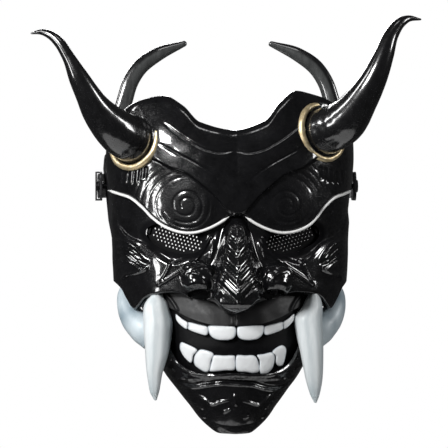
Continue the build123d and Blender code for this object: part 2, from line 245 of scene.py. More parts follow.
def wobble(x, y, z, size, seed=0):
    """Smooth, repeatable unevenness between about -1 and 1, with lumps of the given size."""
    total = np.zeros(np.shape(x))
    for k in range(5):
        a, b = 1.7 * k + seed, 2.9 * k + 0.6 * seed
        along = x * math.cos(a) * math.cos(b) + y * math.sin(a) + z * math.cos(a) * math.sin(b)
        across = x * math.sin(b) - y * math.cos(b) + z * math.sin(a + b)
        total += np.sin(along * (2.1 + 0.7 * k) / size + 1.3 * k + 0.9 * np.sin(across * 1.7 / size + k))
    return total / 3


# ------------------------------------------------------------------ meshes
def make(name, points, faces, material, body="mask", sharp=40):
    """A piece from points in millimetres and faces."""
    mesh = bpy.data.meshes.new(name)
    mesh.from_pydata((np.asarray(points, float).reshape(-1, 3) * MM).tolist(), [], faces)
    piece = bpy.data.objects.new(name, mesh)
    bpy.context.scene.collection.objects.link(piece)
    tidy_mesh(piece, sharp)
    finish_piece(piece, material, body)
    return piece


def tidy_mesh(piece, sharp):
    """Makes the normals face out and shades the mesh smooth, with edges over the sharp angle kept."""
    shape = bmesh.new()
    shape.from_mesh(piece.data)
    bmesh.ops.recalc_face_normals(shape, faces=shape.faces)
    shape.to_mesh(piece.data)
    shape.free()
    piece.data.shade_smooth()
    piece.data.set_sharp_from_angle(angle=math.radians(sharp))


def finish_piece(piece, material, body):
    """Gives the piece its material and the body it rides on."""
    piece.data.materials.clear()
    piece.data.materials.append(material)
    if body:
        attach(piece, body)


def grid_faces(rows, columns, start=0, around=False, ring=False):
    """Quads of a grid of points, closed along its rows if around, and along its columns too if ring."""
    r, c = np.meshgrid(
        np.arange(rows if ring else rows - 1), np.arange(columns if around else columns - 1), indexing="ij"
    )
    this_row, next_row, right = r * columns, (r + 1) % rows * columns, (c + 1) % columns
    quads = np.stack([this_row + c, this_row + right, next_row + right, next_row + c], -1)
    return (quads.reshape(-1, 4) + start).tolist()


def border(rows, columns):
    """The point numbers round the edge of a grid."""
    low = list(range(columns))
    right = [r * columns + columns - 1 for r in range(1, rows)]
    high = [(rows - 1) * columns + c for c in range(columns - 2, -1, -1)]
    left = [r * columns for r in range(rows - 2, 0, -1)]
    return low + right + high + left


def closed_sheet(outer, inner):
    """A closed skin from an outer grid and an inner one with the same or half its divisions."""
    rows, columns = outer.shape[:2]
    inner_rows, inner_columns = inner.shape[:2]
    start = rows * columns
    faces = grid_faces(rows, columns)
    faces += [face[::-1] for face in grid_faces(inner_rows, inner_columns, start)]
    outside, inside = border(rows, columns), border(inner_rows, inner_columns)
    ratio = len(outside) // len(inside)
    for k in range(len(inside)):
        after = (k + 1) % len(inside)
        run = [outside[(k * ratio + j) % len(outside)] for j in range(ratio + 1)]
        faces.append(run[::-1] + [start + inside[k], start + inside[after]])
    return np.concatenate([outer.reshape(-1, 3), inner.reshape(-1, 3)]), faces


def normals(points):
    """Unit normals of a grid of points, turned towards the front or the sides."""
    down, across = np.gradient(points, axis=0), np.gradient(points, axis=1)
    out = np.cross(across, down)
    out /= np.linalg.norm(out, axis=2, keepdims=True) + 1e-12
    middle = points.shape[1] // 2
    if out[points.shape[0] // 2, middle, 1] > 0:
        out = -out
    return out


def rings_mesh(rings):
    """A closed skin through rings of points, with a cap at each end."""
    rings = np.asarray(rings, float)
    count, around = rings.shape[:2]
    faces = grid_faces(count, around, around=True)
    points = np.concatenate([rings.reshape(-1, 3), rings[0].mean(0)[None], rings[-1].mean(0)[None]])
    first, last = count * around, count * around + 1
    for c in range(around):
        after = (c + 1) % around
        faces.append([first, after, c])
        faces.append([last, (count - 1) * around + c, (count - 1) * around + after])
    return points, faces


def cut(piece, cutter):
    """Cuts the cutter out of the piece, and removes the cutter."""
    modifier = piece.modifiers.new("cut", "BOOLEAN")
    modifier.operation = "DIFFERENCE"
    modifier.solver = "MANIFOLD"
    modifier.object = cutter
    apply_modifiers(piece)
    bpy.data.objects.remove(cutter)


def apply_modifiers(piece):
    """Replaces the mesh with what its modifiers make of it."""
    bpy.context.view_layer.update()
    view = bpy.context.evaluated_depsgraph_get()
    mesh = bpy.data.meshes.new_from_object(piece.evaluated_get(view))
    piece.modifiers.clear()
    piece.data = mesh


def weld(piece):
    """Joins points of the skin that lie in the same place."""
    piece.modifiers.new("weld", "WELD").merge_threshold = 1e-6


def round_edges(piece, width, segments):
    """Rounds the sharp edges, by a width in millimetres."""
    bevel = piece.modifiers.new("edge", "BEVEL")
    bevel.width = width * MM
    bevel.segments = segments
    bevel.limit_method = "ANGLE"
    bevel.angle_limit = math.radians(50)


def front_prism(outline, y_front=-100, y_back=100):
    """A solid of an x, z outline carried through the mask along Y."""
    rings = []
    for y in (y_front, y_back):
        rings.append([(x, y, z) for x, z in outline])
    points, faces = rings_mesh(rings)
    mesh = bpy.data.meshes.new("prism")
    mesh.from_pydata((points * MM).tolist(), [], faces)
    cutter = bpy.data.objects.new("prism", mesh)
    bpy.context.scene.collection.objects.link(cutter)
    tidy_mesh(cutter, 30)
    return cutter


# ------------------------------------------------------------------ materials
def material(name, base, roughness, metallic=0.0, coat=0.0, coat_roughness=0.1, specular=0.5):
    made = bpy.data.materials.new(name)
    made.use_nodes = True
    values = {
        "Base Color": (*base, 1), "Roughness": roughness, "Metallic": metallic, "Coat Weight": coat,
        "Coat Roughness": coat_roughness, "Specular IOR Level": specular,
    }
    for name, value in values.items():
        shader(made).inputs[name].default_value = value
    return made


def add(made, kind, **values):
    """A node of the material, with its sockets set by name."""
    node = made.node_tree.nodes.new(kind)
    for name, value in values.items():
        socket = name.replace("_", " ").title()
        if socket in node.inputs:
            node.inputs[socket].default_value = value
        else:
            setattr(node, name, value)
    return node


def shader(made):
    return made.node_tree.nodes["Principled BSDF"]


def link(made, source, target):
    made.node_tree.links.new(source, target)


def place(made, stretch=(1, 1, 1)):
    """Object coordinates in millimetres, stretched along each axis."""
    where = made.node_tree.nodes.new("ShaderNodeTexCoord")
    scale = made.node_tree.nodes.new("ShaderNodeMapping")
    scale.inputs["Scale"].default_value = [s / MM for s in stretch]
    link(made, where.outputs["Object"], scale.inputs["Vector"])
    return scale.outputs["Vector"]


def noise(made, vector, size, detail=3.0, roughness=0.5):
    """Noise with lumps of the given size in millimetres."""
    node = add(made, "ShaderNodeTexNoise", scale=1 / size, detail=detail, roughness=roughness)
    link(made, vector, node.inputs["Vector"])
    return node.outputs["Fac"]


def ramp(made, value, stops):
    """Colours at the given values, with (value, colour) stops."""
    node = made.node_tree.nodes.new("ShaderNodeValToRGB")
    elements = node.color_ramp.elements
    while len(elements) < len(stops):
        elements.new(0.5)
    for element, (at, colour) in zip(elements, stops):
        element.position = at
        element.color = (*colour, 1)
    link(made, value, node.inputs["Fac"])
    return node.outputs["Color"]


def spread(made, value, low, high, from_low=0.3, from_high=0.7):
    """A number spread over low to high."""
    node = made.node_tree.nodes.new("ShaderNodeMapRange")
    node.inputs["From Min"].default_value = from_low
    node.inputs["From Max"].default_value = from_high
    node.inputs["To Min"].default_value = low
    node.inputs["To Max"].default_value = high
    link(made, value, node.inputs["Value"])
    return node.outputs["Result"]


def maths(made, operation, first, second=None, third=None):
    node = made.node_tree.nodes.new("ShaderNodeMath")
    node.operation = operation
    for socket, value in zip(node.inputs, (first, second, third)):
        if isinstance(value, (int, float)):
            socket.default_value = value
        elif value is not None:
            link(made, value, socket)
    return node.outputs["Value"]


def attribute(made, name):
    """A number that the mesh carries at each point."""
    node = made.node_tree.nodes.new("ShaderNodeAttribute")
    node.attribute_name = name
    return node.outputs["Fac"]


def into(made, name, value):
    link(made, value, shader(made).inputs[name])


def bump(made, heights):
    """Bumps from (height, distance in millimetres) pairs, one over the other."""
    before = None
    for height, depth in heights:
        node = made.node_tree.nodes.new("ShaderNodeBump")
        node.inputs["Strength"].default_value = 1
        node.inputs["Distance"].default_value = depth * MM
        link(made, height, node.inputs["Height"])
        if before:
            link(made, before, node.inputs["Normal"])
        before = node.outputs["Normal"]
    into(made, "Normal", before)


def surface(made, tint, colours, patches, low, high, heights):
    """Colours over the tint, roughness over the patches, and bumps."""
    into(made, "Base Color", ramp(made, tint, colours))
    into(made, "Roughness", spread(made, patches, low, high))
    bump(made, heights)
    return made


def crackle(made, where, size):
    """Fine cells with sunken borders, like lacquer over rough casting."""
    cells = add(made, "ShaderNodeTexVoronoi", scale=1 / size)
    cells.feature = "DISTANCE_TO_EDGE"
    link(made, where, cells.inputs["Vector"])
    return ramp(made, cells.outputs["Distance"], [(0.0, (0, 0, 0)), (0.12, (1, 1, 1))])


def lacquer():
    """Gloss black over a slightly uneven casting, with a satin patch where the mesh says so."""
    made = material("black_lacquer", (0.005, 0.005, 0.0055), 0.2, 0, 0.8, coat_roughness=0.06, specular=0.35)
    where = place(made)
    clouds = noise(made, where, 9, 4)
    blacks = [(0.3, (0.0035, 0.0035, 0.004)), (0.75, (0.008, 0.008, 0.009))]
    into(made, "Base Color", ramp(made, clouds, blacks))
    satin = attribute(made, "satin")
    shade = attribute(made, "shade")
    dull = maths(made, "ADD", satin, shade)
    rough = spread(made, noise(made, where, 3.0, 3), 0.15, 0.25)
    into(made, "Roughness", maths(made, "MULTIPLY_ADD", dull, 0.3, rough))
    specks = spread(made, noise(made, where, 2.4, 4, 0.8), 0.2, 1.0, 0.42, 0.53)
    specks = maths(made, "MAXIMUM", specks, attribute(made, "polish"))
    into(made, "Coat Weight", maths(made, "MULTIPLY", specks, maths(made, "SUBTRACT", 1.0, dull)))
    shine = maths(made, "MULTIPLY_ADD", satin, 0.22, 0.2)
    into(made, "Specular IOR Level", maths(made, "MULTIPLY_ADD", shade, -0.19, shine))
    shader(made).inputs["Coat IOR"].default_value = 1.8
    grain = noise(made, where, 1.3, 3, 0.6)
    ripple = noise(made, where, 6.0, 2)
    bump(made, [(ripple, 0.06), (grain, 0.055), (crackle(made, where, 1.8), 0.02)])
    return made


def horn_black():
    made = material("horn_black", (0.006, 0.006, 0.007), 0.25, coat=0.9, coat_roughness=0.12, specular=0.35)
    shader(made).inputs["Coat IOR"].default_value = 1.8
    where = place(made)
    tone_and_painted_light = attribute(made, "tone_and_painted_light")
    streaks = noise(made, place(made, (1, 1, 0.25)), 3.0, 4)
    dark = ramp(made, streaks, [(0.3, (0.004, 0.004, 0.0045)), (0.8, (0.01, 0.01, 0.011))])
    mix = made.node_tree.nodes.new("ShaderNodeMix")
    mix.data_type = "RGBA"
    link(made, tone_and_painted_light, mix.inputs[0])
    link(made, dark, mix.inputs[6])
    # A lighter grey mixed in where the mesh's tone value is high: a painted sheen on the side of each rear
    # horn that faces inward, down and forward.
    painted_sheen_grey = ramp(made, streaks, [(0.3, (0.045, 0.047, 0.047)), (0.8, (0.085, 0.088, 0.088))])
    link(made, painted_sheen_grey, mix.inputs[7])
    into(made, "Base Color", mix.outputs[2])
    into(made, "Roughness", spread(made, noise(made, where, 4, 3), 0.18, 0.32))
    leather = crackle(made, where, 2.2)
    bump(made, [(streaks, 0.12), (leather, 0.012), (noise(made, where, 0.8, 3), 0.02)])
    return made


def bone(name, light, dark, streak_axis=(1, 1, 0.1)):
    """Smooth horn or bone with faint lengthwise streaks, darker and cooler where the mesh says so: painted
    shade on the right side of each fang, with a darker stripe and tip, and random patches on the tusks.
    """
    made = material(name, light, 0.42, coat=0.12, coat_roughness=0.3)
    where = place(made)
    streaks = noise(made, place(made, streak_axis), 2.6, 5, 0.6)
    tone_and_painted_light = attribute(made, "tone_and_painted_light")
    shade = maths(made, "MULTIPLY_ADD", streaks, 0.55, maths(made, "MULTIPLY", tone_and_painted_light, 0.75))
    heights = [(streaks, 0.12), (noise(made, where, 0.7, 3), 0.03)]
    return surface(made, shade, [(0.2, light), (0.95, dark)], noise(made, where, 2, 3), 0.34, 0.5, heights)


def tooth_white():
    made = material("tooth_white", (0.86, 0.87, 0.88), 0.35, coat=0.2, coat_roughness=0.25)
    where = place(made)
    streaks = noise(made, place(made, (1, 1, 0.3)), 2.2, 4)
    # The mesh's tone value greys and darkens the teeth: painted shade over the sides where they go back into
    # the mouth.
    tone_and_painted_light = attribute(made, "tone_and_painted_light")
    shade = maths(made, "MULTIPLY_ADD", streaks, 0.3, tone_and_painted_light)
    colours = [(0.2, (0.84, 0.86, 0.87)), (0.45, (0.66, 0.70, 0.73)), (1.0, (0.30, 0.33, 0.36))]
    return surface(made, shade, colours, noise(made, where, 1.5, 3), 0.3, 0.42, [(streaks, 0.1)])


def brass():
    made = material("pale_brass", (0.86, 0.70, 0.43), 0.4, metallic=0.75)
    where = place(made)
    patches = noise(made, where, 2.5, 4)
    colours = [(0.25, (0.62, 0.47, 0.24)), (0.5, (0.86, 0.70, 0.43)), (0.8, (0.96, 0.87, 0.66))]
    heights = [(patches, 0.12), (noise(made, where, 0.5, 2), 0.02)]
    return surface(made, patches, colours, noise(made, where, 1.2, 3), 0.34, 0.5, heights)


def plain_plastic(name, base, low, high, grain=0.6, depth=0.03, specular=0.5):
    made = material(name, base, (low + high) / 2, specular=specular)
    where = place(made)
    patches = noise(made, where, 7, 4)
    lighter = tuple(min(1, 1.7 * c) for c in base)
    heights = [(noise(made, where, grain, 3), depth)]
    colours = [(0.3, base), (0.8, lighter)]
    return surface(made, patches, colours, noise(made, where, 2, 3), low, high, heights)


def metal(name, base, low, high):
    made = material(name, base, (low + high) / 2, metallic=1.0)
    where = place(made)
    scratches = noise(made, place(made, (0.2, 1, 3)), 1.0, 5)
    darker = tuple(0.6 * c for c in base)
    colours = [(0.3, darker), (0.7, base)]
    return surface(made, scratches, colours, noise(made, where, 1.5, 3), low, high, [(scratches, 0.02)])


def rim_white():
    made = material("rim_white", (0.82, 0.82, 0.81), 0.3, coat=0.3)
    where = place(made)
    colours = [(0.3, (0.85, 0.85, 0.84)), (0.6, (0.95, 0.95, 0.94))]
    heights = [(noise(made, where, 0.8, 3), 0.03)]
    tint = noise(made, where, 3, 3)
    return surface(made, tint, colours, noise(made, where, 1.5, 3), 0.25, 0.45, heights)


def webbing():
    """Black elastic with fine lengthwise cords and a cross weave."""
    made = material("elastic_webbing", (0.02, 0.02, 0.021), 0.8, specular=0.3)
    shader(made).inputs["Sheen Weight"].default_value = 0.25
    where = place(made)
    along = attribute(made, "along")
    across = attribute(made, "across")
    cords = maths(made, "SINE", maths(made, "MULTIPLY", across, 2 * math.pi / 1.1))
    picks = maths(made, "SINE", maths(made, "MULTIPLY", along, 2 * math.pi / 0.9))
    weave = maths(made, "MULTIPLY", cords, picks)
    fuzz = noise(made, where, 0.4, 3)
    tint = maths(made, "MULTIPLY_ADD", weave, 0.25, fuzz)
    colours = [(0.25, (0.008, 0.008, 0.009)), (0.85, (0.04, 0.04, 0.042))]
    return surface(made, tint, colours, fuzz, 0.7, 0.92, [(weave, 0.12), (fuzz, 0.04)])


def pad_cloth():
    """Knitted black cover over foam."""
    made = material("pad_cloth", (0.025, 0.025, 0.027), 0.9, specular=0.2)
    shader(made).inputs["Sheen Weight"].default_value = 0.4
    where = place(made)
    loops = add(made, "ShaderNodeTexVoronoi", scale=1 / 0.9)
    link(made, where, loops.inputs["Vector"])
    fuzz = noise(made, where, 0.35, 3)
    clouds = noise(made, where, 8, 3)
    tint = maths(made, "MULTIPLY_ADD", loops.outputs["Distance"], 0.5, clouds)
    colours = [(0.4, (0.04, 0.04, 0.043)), (1.0, (0.012, 0.012, 0.013))]
    heights = [(loops.outputs["Distance"], 0.18), (fuzz, 0.05)]
    return surface(made, tint, colours, fuzz, 0.82, 0.97, heights)


LACQUER = lacquer()
HORN = horn_black()
FANG_BONE = bone("fang_bone", (0.80, 0.84, 0.85), (0.42, 0.50, 0.53))
# The tusks get a darker, bluer copy of the fang bone: painted shade, for the shade they sit in under the
# cheeks.
TUSK_BONE_PAINTED_SHADE = bone("tusk_bone_painted_shade", (0.62, 0.70, 0.74), (0.30, 0.38, 0.43), (0.6, 0.6, 0.25))
TOOTH = tooth_white()
BRASS = brass()
RIM = rim_white()
PANEL = plain_plastic("panel_black", (0.012, 0.012, 0.013), 0.32, 0.5)
GUM = plain_plastic("gum_black", (0.003, 0.003, 0.0035), 0.35, 0.55, 1.0, 0.06, specular=0.1)
SCREEN = plain_plastic("screen_black", (0.003, 0.003, 0.0035), 0.5, 0.7, specular=0.12)
STEEL = metal("steel", (0.55, 0.56, 0.57), 0.25, 0.45)
BLACK_METAL = metal("black_metal", (0.03, 0.03, 0.032), 0.3, 0.5)
WEBBING = webbing()
PAD = pad_cloth()


# ------------------------------------------------------------------ face
# Sculpted lines of one half of the face, as (distance from the middle, height).
LID_RIM = [(6, 15), (14, 9.6), (22, 5.6), (32, 2.7), (41, 3), (49, 5.4), (56, 9.2), (62.5, 15),
           (69.5, 23.3), (76.5, 29.3), (85, 32), (96, 34.8)]
BROW_LINE = [(0, 15.5), (3, 16.2), (6, 17.8), (16, 28.7), (26, 38), (37, 46.5), (49, 51), (61, 58), (75, 61)]
SOCKET_EDGE = [(10, 12), (14, 8), (17, -1), (25, -10), (36, -15), (48.8, -19), (58.5, -13.6), (68, -6),
               (80, 0), (88, 10), (96, 24)]
FOREHEAD_GROOVES = [
    [(52, 86), (42, 78), (32, 71), (22, 65.5), (11, 63), (0, 65)],
    [(55, 70), (43, 63), (32, 57), (21.5, 50.5), (12, 42.5)],
]
EYE_SKEW = 1.7
LID_OVERHANG = 1.6
RIM_RADIUS = 1.12
RIM_STEPS = 150
SPIRAL_CENTRE = (37.5, 23.5)
CHEEK_FACET = [(48.8, -19), (52, -27), (57.5, -38)]
SMILE_RIDGE = [(20.5, -1), (24, -8), (29, -15), (36, -22), (44, -28), (50, -32), (57, -37)]
NOSE_CREASE = [(17.5, -2), (18.3, -9), (20.5, -18)]
NOSTRIL_RIDGE = [(24, -21.5), (21.5, -27), (18.3, -34), (15.2, -41), (14, -46)]
WING_ARCS = [
    [(40, -33), (37.6, -27.5), (33, -23.6), (27.5, -22)],
    [(25, -34.5), (27.5, -30.6), (31.5, -28), (36.5, -27.4)],
]
WING_BULB = (33.5, -35.5)
NOSTRIL_HOLE = (28.5, -44.5)
RIB_PITCH = 10.8
FLAMES = [
    [(88, -3), (81, -4.5), (73, -9.5), (68, -15), (64.5, -20)],
    [(87, -8.5), (80, -10.5), (74, -14.5), (70, -19)],
    [(86, -13), (80, -15), (74, -19.5), (67.4, -23.4), (64, -24)],
    [(84, -18), (79, -19.6), (74, -22.6), (69, -26), (65.5, -27)],
    [(83, -35), (79, -30.5), (73.5, -29.3), (68, -27), (64.5, -24.5)],
]
UNDER_RING_WRINKLES = [(66, 44, 52), (70, 42, 51), (74.5, 41, 50), (79, 41, 49), (83.5, 42, 50)]


def shell_points(levels, fraction, z):
    """Points of a shell at the given sines of the turn and heights."""
    half, front, side = level_curves(levels, z)
    y = side - (side - front) * np.sqrt(np.clip(1 - fraction**2, 0, 1))
    return np.stack([half * fraction, y, z], -1)


def surface_y(levels, x, z):
    half, front, side = level_curves(levels, np.asarray(z, float))
    return side - (side - front) * np.sqrt(np.clip(1 - (x / half) ** 2, 0, 1))


def fractions(count, middle=0.72):
    """Sines of the turn from side to side, closer together in the middle."""
    w = np.linspace(-1, 1, count)
    return np.sin(math.pi / 2 * (middle * w + (1 - middle) * w**3))


def edge_heights(levels, fraction, low_edge, high_edge):
    """Where each column of a shell meets its lower and upper edge lines."""
    low, high = np.full(len(fraction), -50.0), np.full(len(fraction), 80.0)
    for _ in range(12):
        low_x = level_curves(levels, low)[0] * fraction
        high_x = level_curves(levels, high)[0] * fraction
        low, high = low_edge(low_x), high_edge(high_x)
    return low, high


def brow_height(x):
    return along_line(BROW_EDGE, x)


def cheek_height(x):
    return along_line(CHEEK_EDGE, np.abs(x))


def nose_y(x, z):
    table = np.array(NOSE_LEVELS, float)
    half = flow(table[:, 0], table[:, 1], z)
    front = flow(table[:, 0], table[:, 2], z)
    a = np.abs(x - NOSE_X)
    beyond = a - NOSE_SHOULDER * half
    flank = 1.2 * np.log1p(np.exp(np.clip(beyond / 1.2, -20, 20)))
    y = front + 0.45 * a + 2.4 * flank
    return np.where(z > NOSE_LEVELS[-1][0], 60, y)


def with_nose(points):
    x, z = points[..., 0], points[..., 2]
    y = lowest(points[..., 1], nose_y(x, z), 5)
    for cx, cy, cz in NOSTRILS:
        gap = (x - cx) ** 2 + (z - cz) ** 2
        ball = cy - np.sqrt(np.clip(NOSTRIL_RADIUS**2 - gap, 0, None))
        ball = np.where(gap < NOSTRIL_RADIUS**2, ball, 60)
        y = lowest(y, ball, 6)
    out = points.copy()
    out[..., 1] = y
    return out


def spiral_groove(x, z):
    """A spiral pressed into the eyelid, with an arc of ripples outside it."""
    cx, cz = SPIRAL_CENTRE
    reach, turn = np.hypot(x - cx, z - cz), np.arctan2(z - cz, x - cx)
    depth = np.zeros(np.shape(x))
    for lap in range(3):
        r = 4.0 + 5.3 * (turn / (2 * math.pi) + lap)
        line = np.exp(-(((reach - r) / 0.6) ** 2))
        depth += line * (r > 3.4) * (r < 13.8)
    depth += 0.8 * np.exp(-(((reach - 17.2) / 0.9) ** 2)) * ease(-np.sin(turn + 0.3), -0.2, 0.4)
    outward = ease(np.cos(turn - 0.45), 0.1, 0.6)
    for r in (21.5, 26.5, 31.5, 36):
        depth += 0.35 * outward * np.exp(-(((reach - r) / 0.7) ** 2))
    return depth


def nose_ribs(x, z):
    """Rolls on each side of the nose that run down to its ridge, each with a groove along it."""
    a = np.abs(x - NOSE_X)
    phase = (z - 1.0 * a + 6.5) / RIB_PITCH
    part = phase - np.floor(phase)
    roll = 1 - np.abs(2 * part - 1) ** 2.2
    groove = np.exp(-(((part - 0.64) / 0.07) ** 2))
    table = np.array(NOSE_LEVELS, float)
    half = flow(table[:, 0], table[:, 1], np.clip(z, -58, 20))
    reach = NOSE_SHOULDER * half
    inside = ease(a, 0.2, 1.4) * (1 - ease(a, reach, reach + 2.5))
    inside *= ease(z - 0.5 * a, -52, -46) * (1 - ease(z, -1, 6))
    return inside * (2.3 * roll - 0.8 * groove - 0.8)


def height_over(a, z, line, count):
    """The distance from a line on one half of the face, above 0 over it and below 0 under it."""
    gap, _ = distance(a, z, curve_points(line, count))
    return np.where(z > along_line(line, np.clip(a, line[0][0], line[-1][0])), gap, -gap)


def face_relief(x, z):
    """How far the sculpted face stands out from its plain shell, in millimetres."""
    skew = EYE_SKEW * (1 - ease(np.abs(x), 50, 72))
    a = np.abs(x - skew)
    above_rim = height_over(a, z, LID_RIM, 90)
    above_brow = height_over(a, z, BROW_LINE, 70)
    below_socket = -height_over(a, z, SOCKET_EDGE, 70)

    lid = 5.0 * ease(above_rim, -0.2, 1.4)
    cx, cz = SPIRAL_CENTRE
    dome = np.clip(1 - ((a - cx) ** 2 + ((z - cz) * 1.1) ** 2) / 25**2, 0, 1)
    lid += 0.7 * dome * ease(above_rim, 0, 6)
    lid *= 1 - 0.75 * ease(a, 72, 97)
    crown = 3.2 * ease(above_brow, -0.3, 1.6) - 6.5 * ease(above_brow, 16, 56)
    crown *= 1 - ease(a, 55, 75)
    height = lid + crown
    height -= 0.4 * spiral_groove(a, z) * (1 - ease(above_brow, -3, -0.5)) * ease(above_rim, 1.5, 4)

    for line in FOREHEAD_GROOVES:
        height -= 0.75 * crest(np.abs(x), z, line, 0.8)
    for at, low, high in UNDER_RING_WRINKLES:
        height -= 0.9 * crest(np.abs(x), z, [(at, low), (at - 0.8, high)], 0.9, taper=False)

    outer_cheek = ease(a, 50, 62) * (1 - ease(a, 84, 95))
    socket_ridge = np.exp(-(((below_socket - 1.2) / 0.8) ** 2))
    cheek = 2.6 * ease(below_socket, -1.0, 4.0) + 0.8 * outer_cheek * socket_ridge
    height += cheek * ease(a, 12, 20)
    height += 1.2 * crest(a, z, CHEEK_FACET, 0.8, taper=False)
    for line in FLAMES:
        height += 2.4 * crest(a, z, line, 0.95)
    height += 0.9 * outer_cheek * ease(-z, 4, 20)
    height += 1.5 * crest(a, z, SMILE_RIDGE, 0.95, taper=False)

    height += nose_ribs(x, z)
    centre = np.abs(x - NOSE_X)
    height += 0.9 * np.exp(-((centre / 0.8) ** 2)) * ease(z, -52, -46) * (1 - ease(z, -3, 2))
    height += 1.2 * np.clip(1 - centre / 6.5 - np.abs(z - 7.5) / 7.5, 0, 1)
    height += 0.9 * crest(centre, z, NOSE_CREASE, 0.8)
    height += 1.7 * crest(centre, z, NOSTRIL_RIDGE, 1.2)
    for arc in WING_ARCS:
        height += 1.3 * crest(centre, z, arc, 0.85)
    bulb = ((centre - WING_BULB[0]) / 6.0) ** 2 + ((z - WING_BULB[1]) / 3.6) ** 2
    height += 1.4 * np.clip(1 - bulb, 0, 1)
    hole = ((centre - NOSTRIL_HOLE[0]) / 8.5) ** 2 + ((z - NOSTRIL_HOLE[1]) / 4.6) ** 2
    height -= 13 * (1 - ease(hole, 0.35, 1.15))

    root = np.clip(1 - (((a - 60.5) / 13) ** 2 + ((z + 45) / 10) ** 2), 0, 1)
    height += 1.0 * root
    top_gap = np.clip(brow_height(x) - z, 0, None)
    height -= 2.4 * np.clip(1 - top_gap / 7, 0, 1) ** 2
    side_gap = ease(np.abs(x), 88, 97)
    height *= 1 - 0.6 * side_gap
    return height + 0.12 * wobble(x, 0 * x, z, 9)


def rounded_edge(count, run, radius=1.3):
    """How far a surface drops over its last points so that the edge is round."""
    gap = np.minimum(np.arange(count), np.arange(count)[::-1]) * run / count
    inside = np.clip(radius - gap, 0, radius)
    return radius - np.sqrt(radius**2 - inside**2)


def face_shell():
    rows, columns, under = 233, 311, 8
    fraction = fractions(columns)
    low, high = edge_heights(FACE_LEVELS, fraction, cheek_height, brow_height)
    v = np.linspace(0, 1, rows)[:, None]
    z = low + (high - low) * v
    plain = shell_points(FACE_LEVELS, np.broadcast_to(fraction, z.shape), z)
    shaped = with_nose(plain)
    drop = rounded_edge(rows, 150)[:, None] + rounded_edge(columns, 250)[None, :]
    relief = face_relief(shaped[..., 0], shaped[..., 2]) - drop
    ahead = ease(shaped[..., 2], -62, -60) * (1 - ease(shaped[..., 2], 10, 22))
    ahead *= 1 - ease(np.abs(shaped[..., 0] - NOSE_X), 30, 42)
    towards = normals(shaped) * (1 - ahead[..., None])
    towards[..., 1] -= ahead
    towards /= np.linalg.norm(towards, axis=2, keepdims=True)
    outer = shaped + towards * relief[..., None]

    inner_rows, inner_columns = (rows + under + 1) // 2, (columns + 1) // 2
    inner_fraction = fraction[::2]
    v = np.linspace(0, 1, inner_rows)[:, None]
    z = low[::2] + (high - low)[::2] * v
    lining = shell_points(FACE_LEVELS, np.broadcast_to(inner_fraction, z.shape), z)
    inner = lining - normals(lining) * WALL

    target = shell_points(FACE_LEVELS, fraction, low)
    target[:, 1] += WALL
    target[:, 2] += 0.3
    lip = []
    for k in range(under, 0, -1):
        f = k / (under + 1)
        row = outer[0] * (1 - f) + target * f
        depth = np.linalg.norm(target - outer[0], axis=1)
        row[:, 2] -= 0.12 * depth * math.sin(math.pi * f)
        lip.append(row)
    outer = np.concatenate([np.array(lip), outer])
    points, faces = closed_sheet(outer, inner)
    piece = make("sculpted_face", points, faces, LACQUER, body=None)
    for side in (-1, 1):
        cut(piece, front_prism(eye_outline(side)))
    tidy_mesh(piece, 80)
    co = vertex_places(piece)
    set_attribute(piece, "shade", socket_shade(co[:, 0], co[:, 2]) + 0.45 * lid_shade(co[:, 0], co[:, 2]))
    set_attribute(piece, "polish", 0.85 * ridge_polish(co[:, 0], co[:, 2]))
    finish_piece(piece, LACQUER, "mask")
    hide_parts("face_shell")
    return piece


def along_line(points, x):
    """The height of a smooth line through the points at x."""
    xs, zs = zip(*points)
    return flow(xs, zs, x)


def lid_shade(x, z):
    """1 on the dull middle of each eyelid, where its spiral is, and 0 outside it."""
    reach = np.hypot(np.abs(x) - SPIRAL_CENTRE[0], z - SPIRAL_CENTRE[1])
    return 1 - ease(reach, 12, 20)


def ridge_polish(x, z):
    """1 on the nose and along the ridges of the cheeks, which are rubbed clean, and 0 elsewhere."""
    a = np.abs(x)
    centre = np.abs(x - NOSE_X)
    nose = (1 - ease(centre, 17, 21)) * ease(z, -58, -50) * (1 - ease(z, 2, 8))
    lines = crest(a, z, SMILE_RIDGE, 2.2, taper=False) + crest(a, z, CHEEK_FACET, 2.0, taper=False)
    for line in FLAMES:
        lines = lines + crest(a, z, line, 2.0)
    return np.clip(nose + lines, 0, 1)


def socket_shade(x, z):
    """1 in the dull hollow round each eye opening and 0 outside it."""
    a = np.abs(x)
    tilt = math.radians(EYE_TILT)
    along = (a - EYE_CENTRE[0]) * math.cos(tilt) + (z - EYE_CENTRE[1]) * math.sin(tilt)
    across = (z - EYE_CENTRE[1]) * math.cos(tilt) - (a - EYE_CENTRE[0]) * math.sin(tilt)
    reach = np.hypot(along / (EYE_HALF[0] + 3), across / (EYE_HALF[1] + 3))
    below_rim = along_line(LID_RIM, np.clip(a, LID_RIM[0][0], LID_RIM[-1][0])) - z
    return (1 - ease(reach, 1.0, 1.25)) * ease(below_rim, -0.5, 0.5)


def eye_outline(side, grow=0.0):
    tilt = math.radians(EYE_TILT)
    outline = []
    for t in full_turn(96):
        u, w = (EYE_HALF[0] + grow) * math.cos(t), (EYE_HALF[1] + grow) * math.sin(t)
        x = EYE_CENTRE[0] + u * math.cos(tilt) - w * math.sin(tilt)
        z = EYE_CENTRE[1] + u * math.sin(tilt) + w * math.cos(tilt)
        rim_z = float(along_line(LID_RIM, x - side * EYE_SKEW))
        outline.append((side * x, min(z, rim_z - LID_OVERHANG)))
    return outline


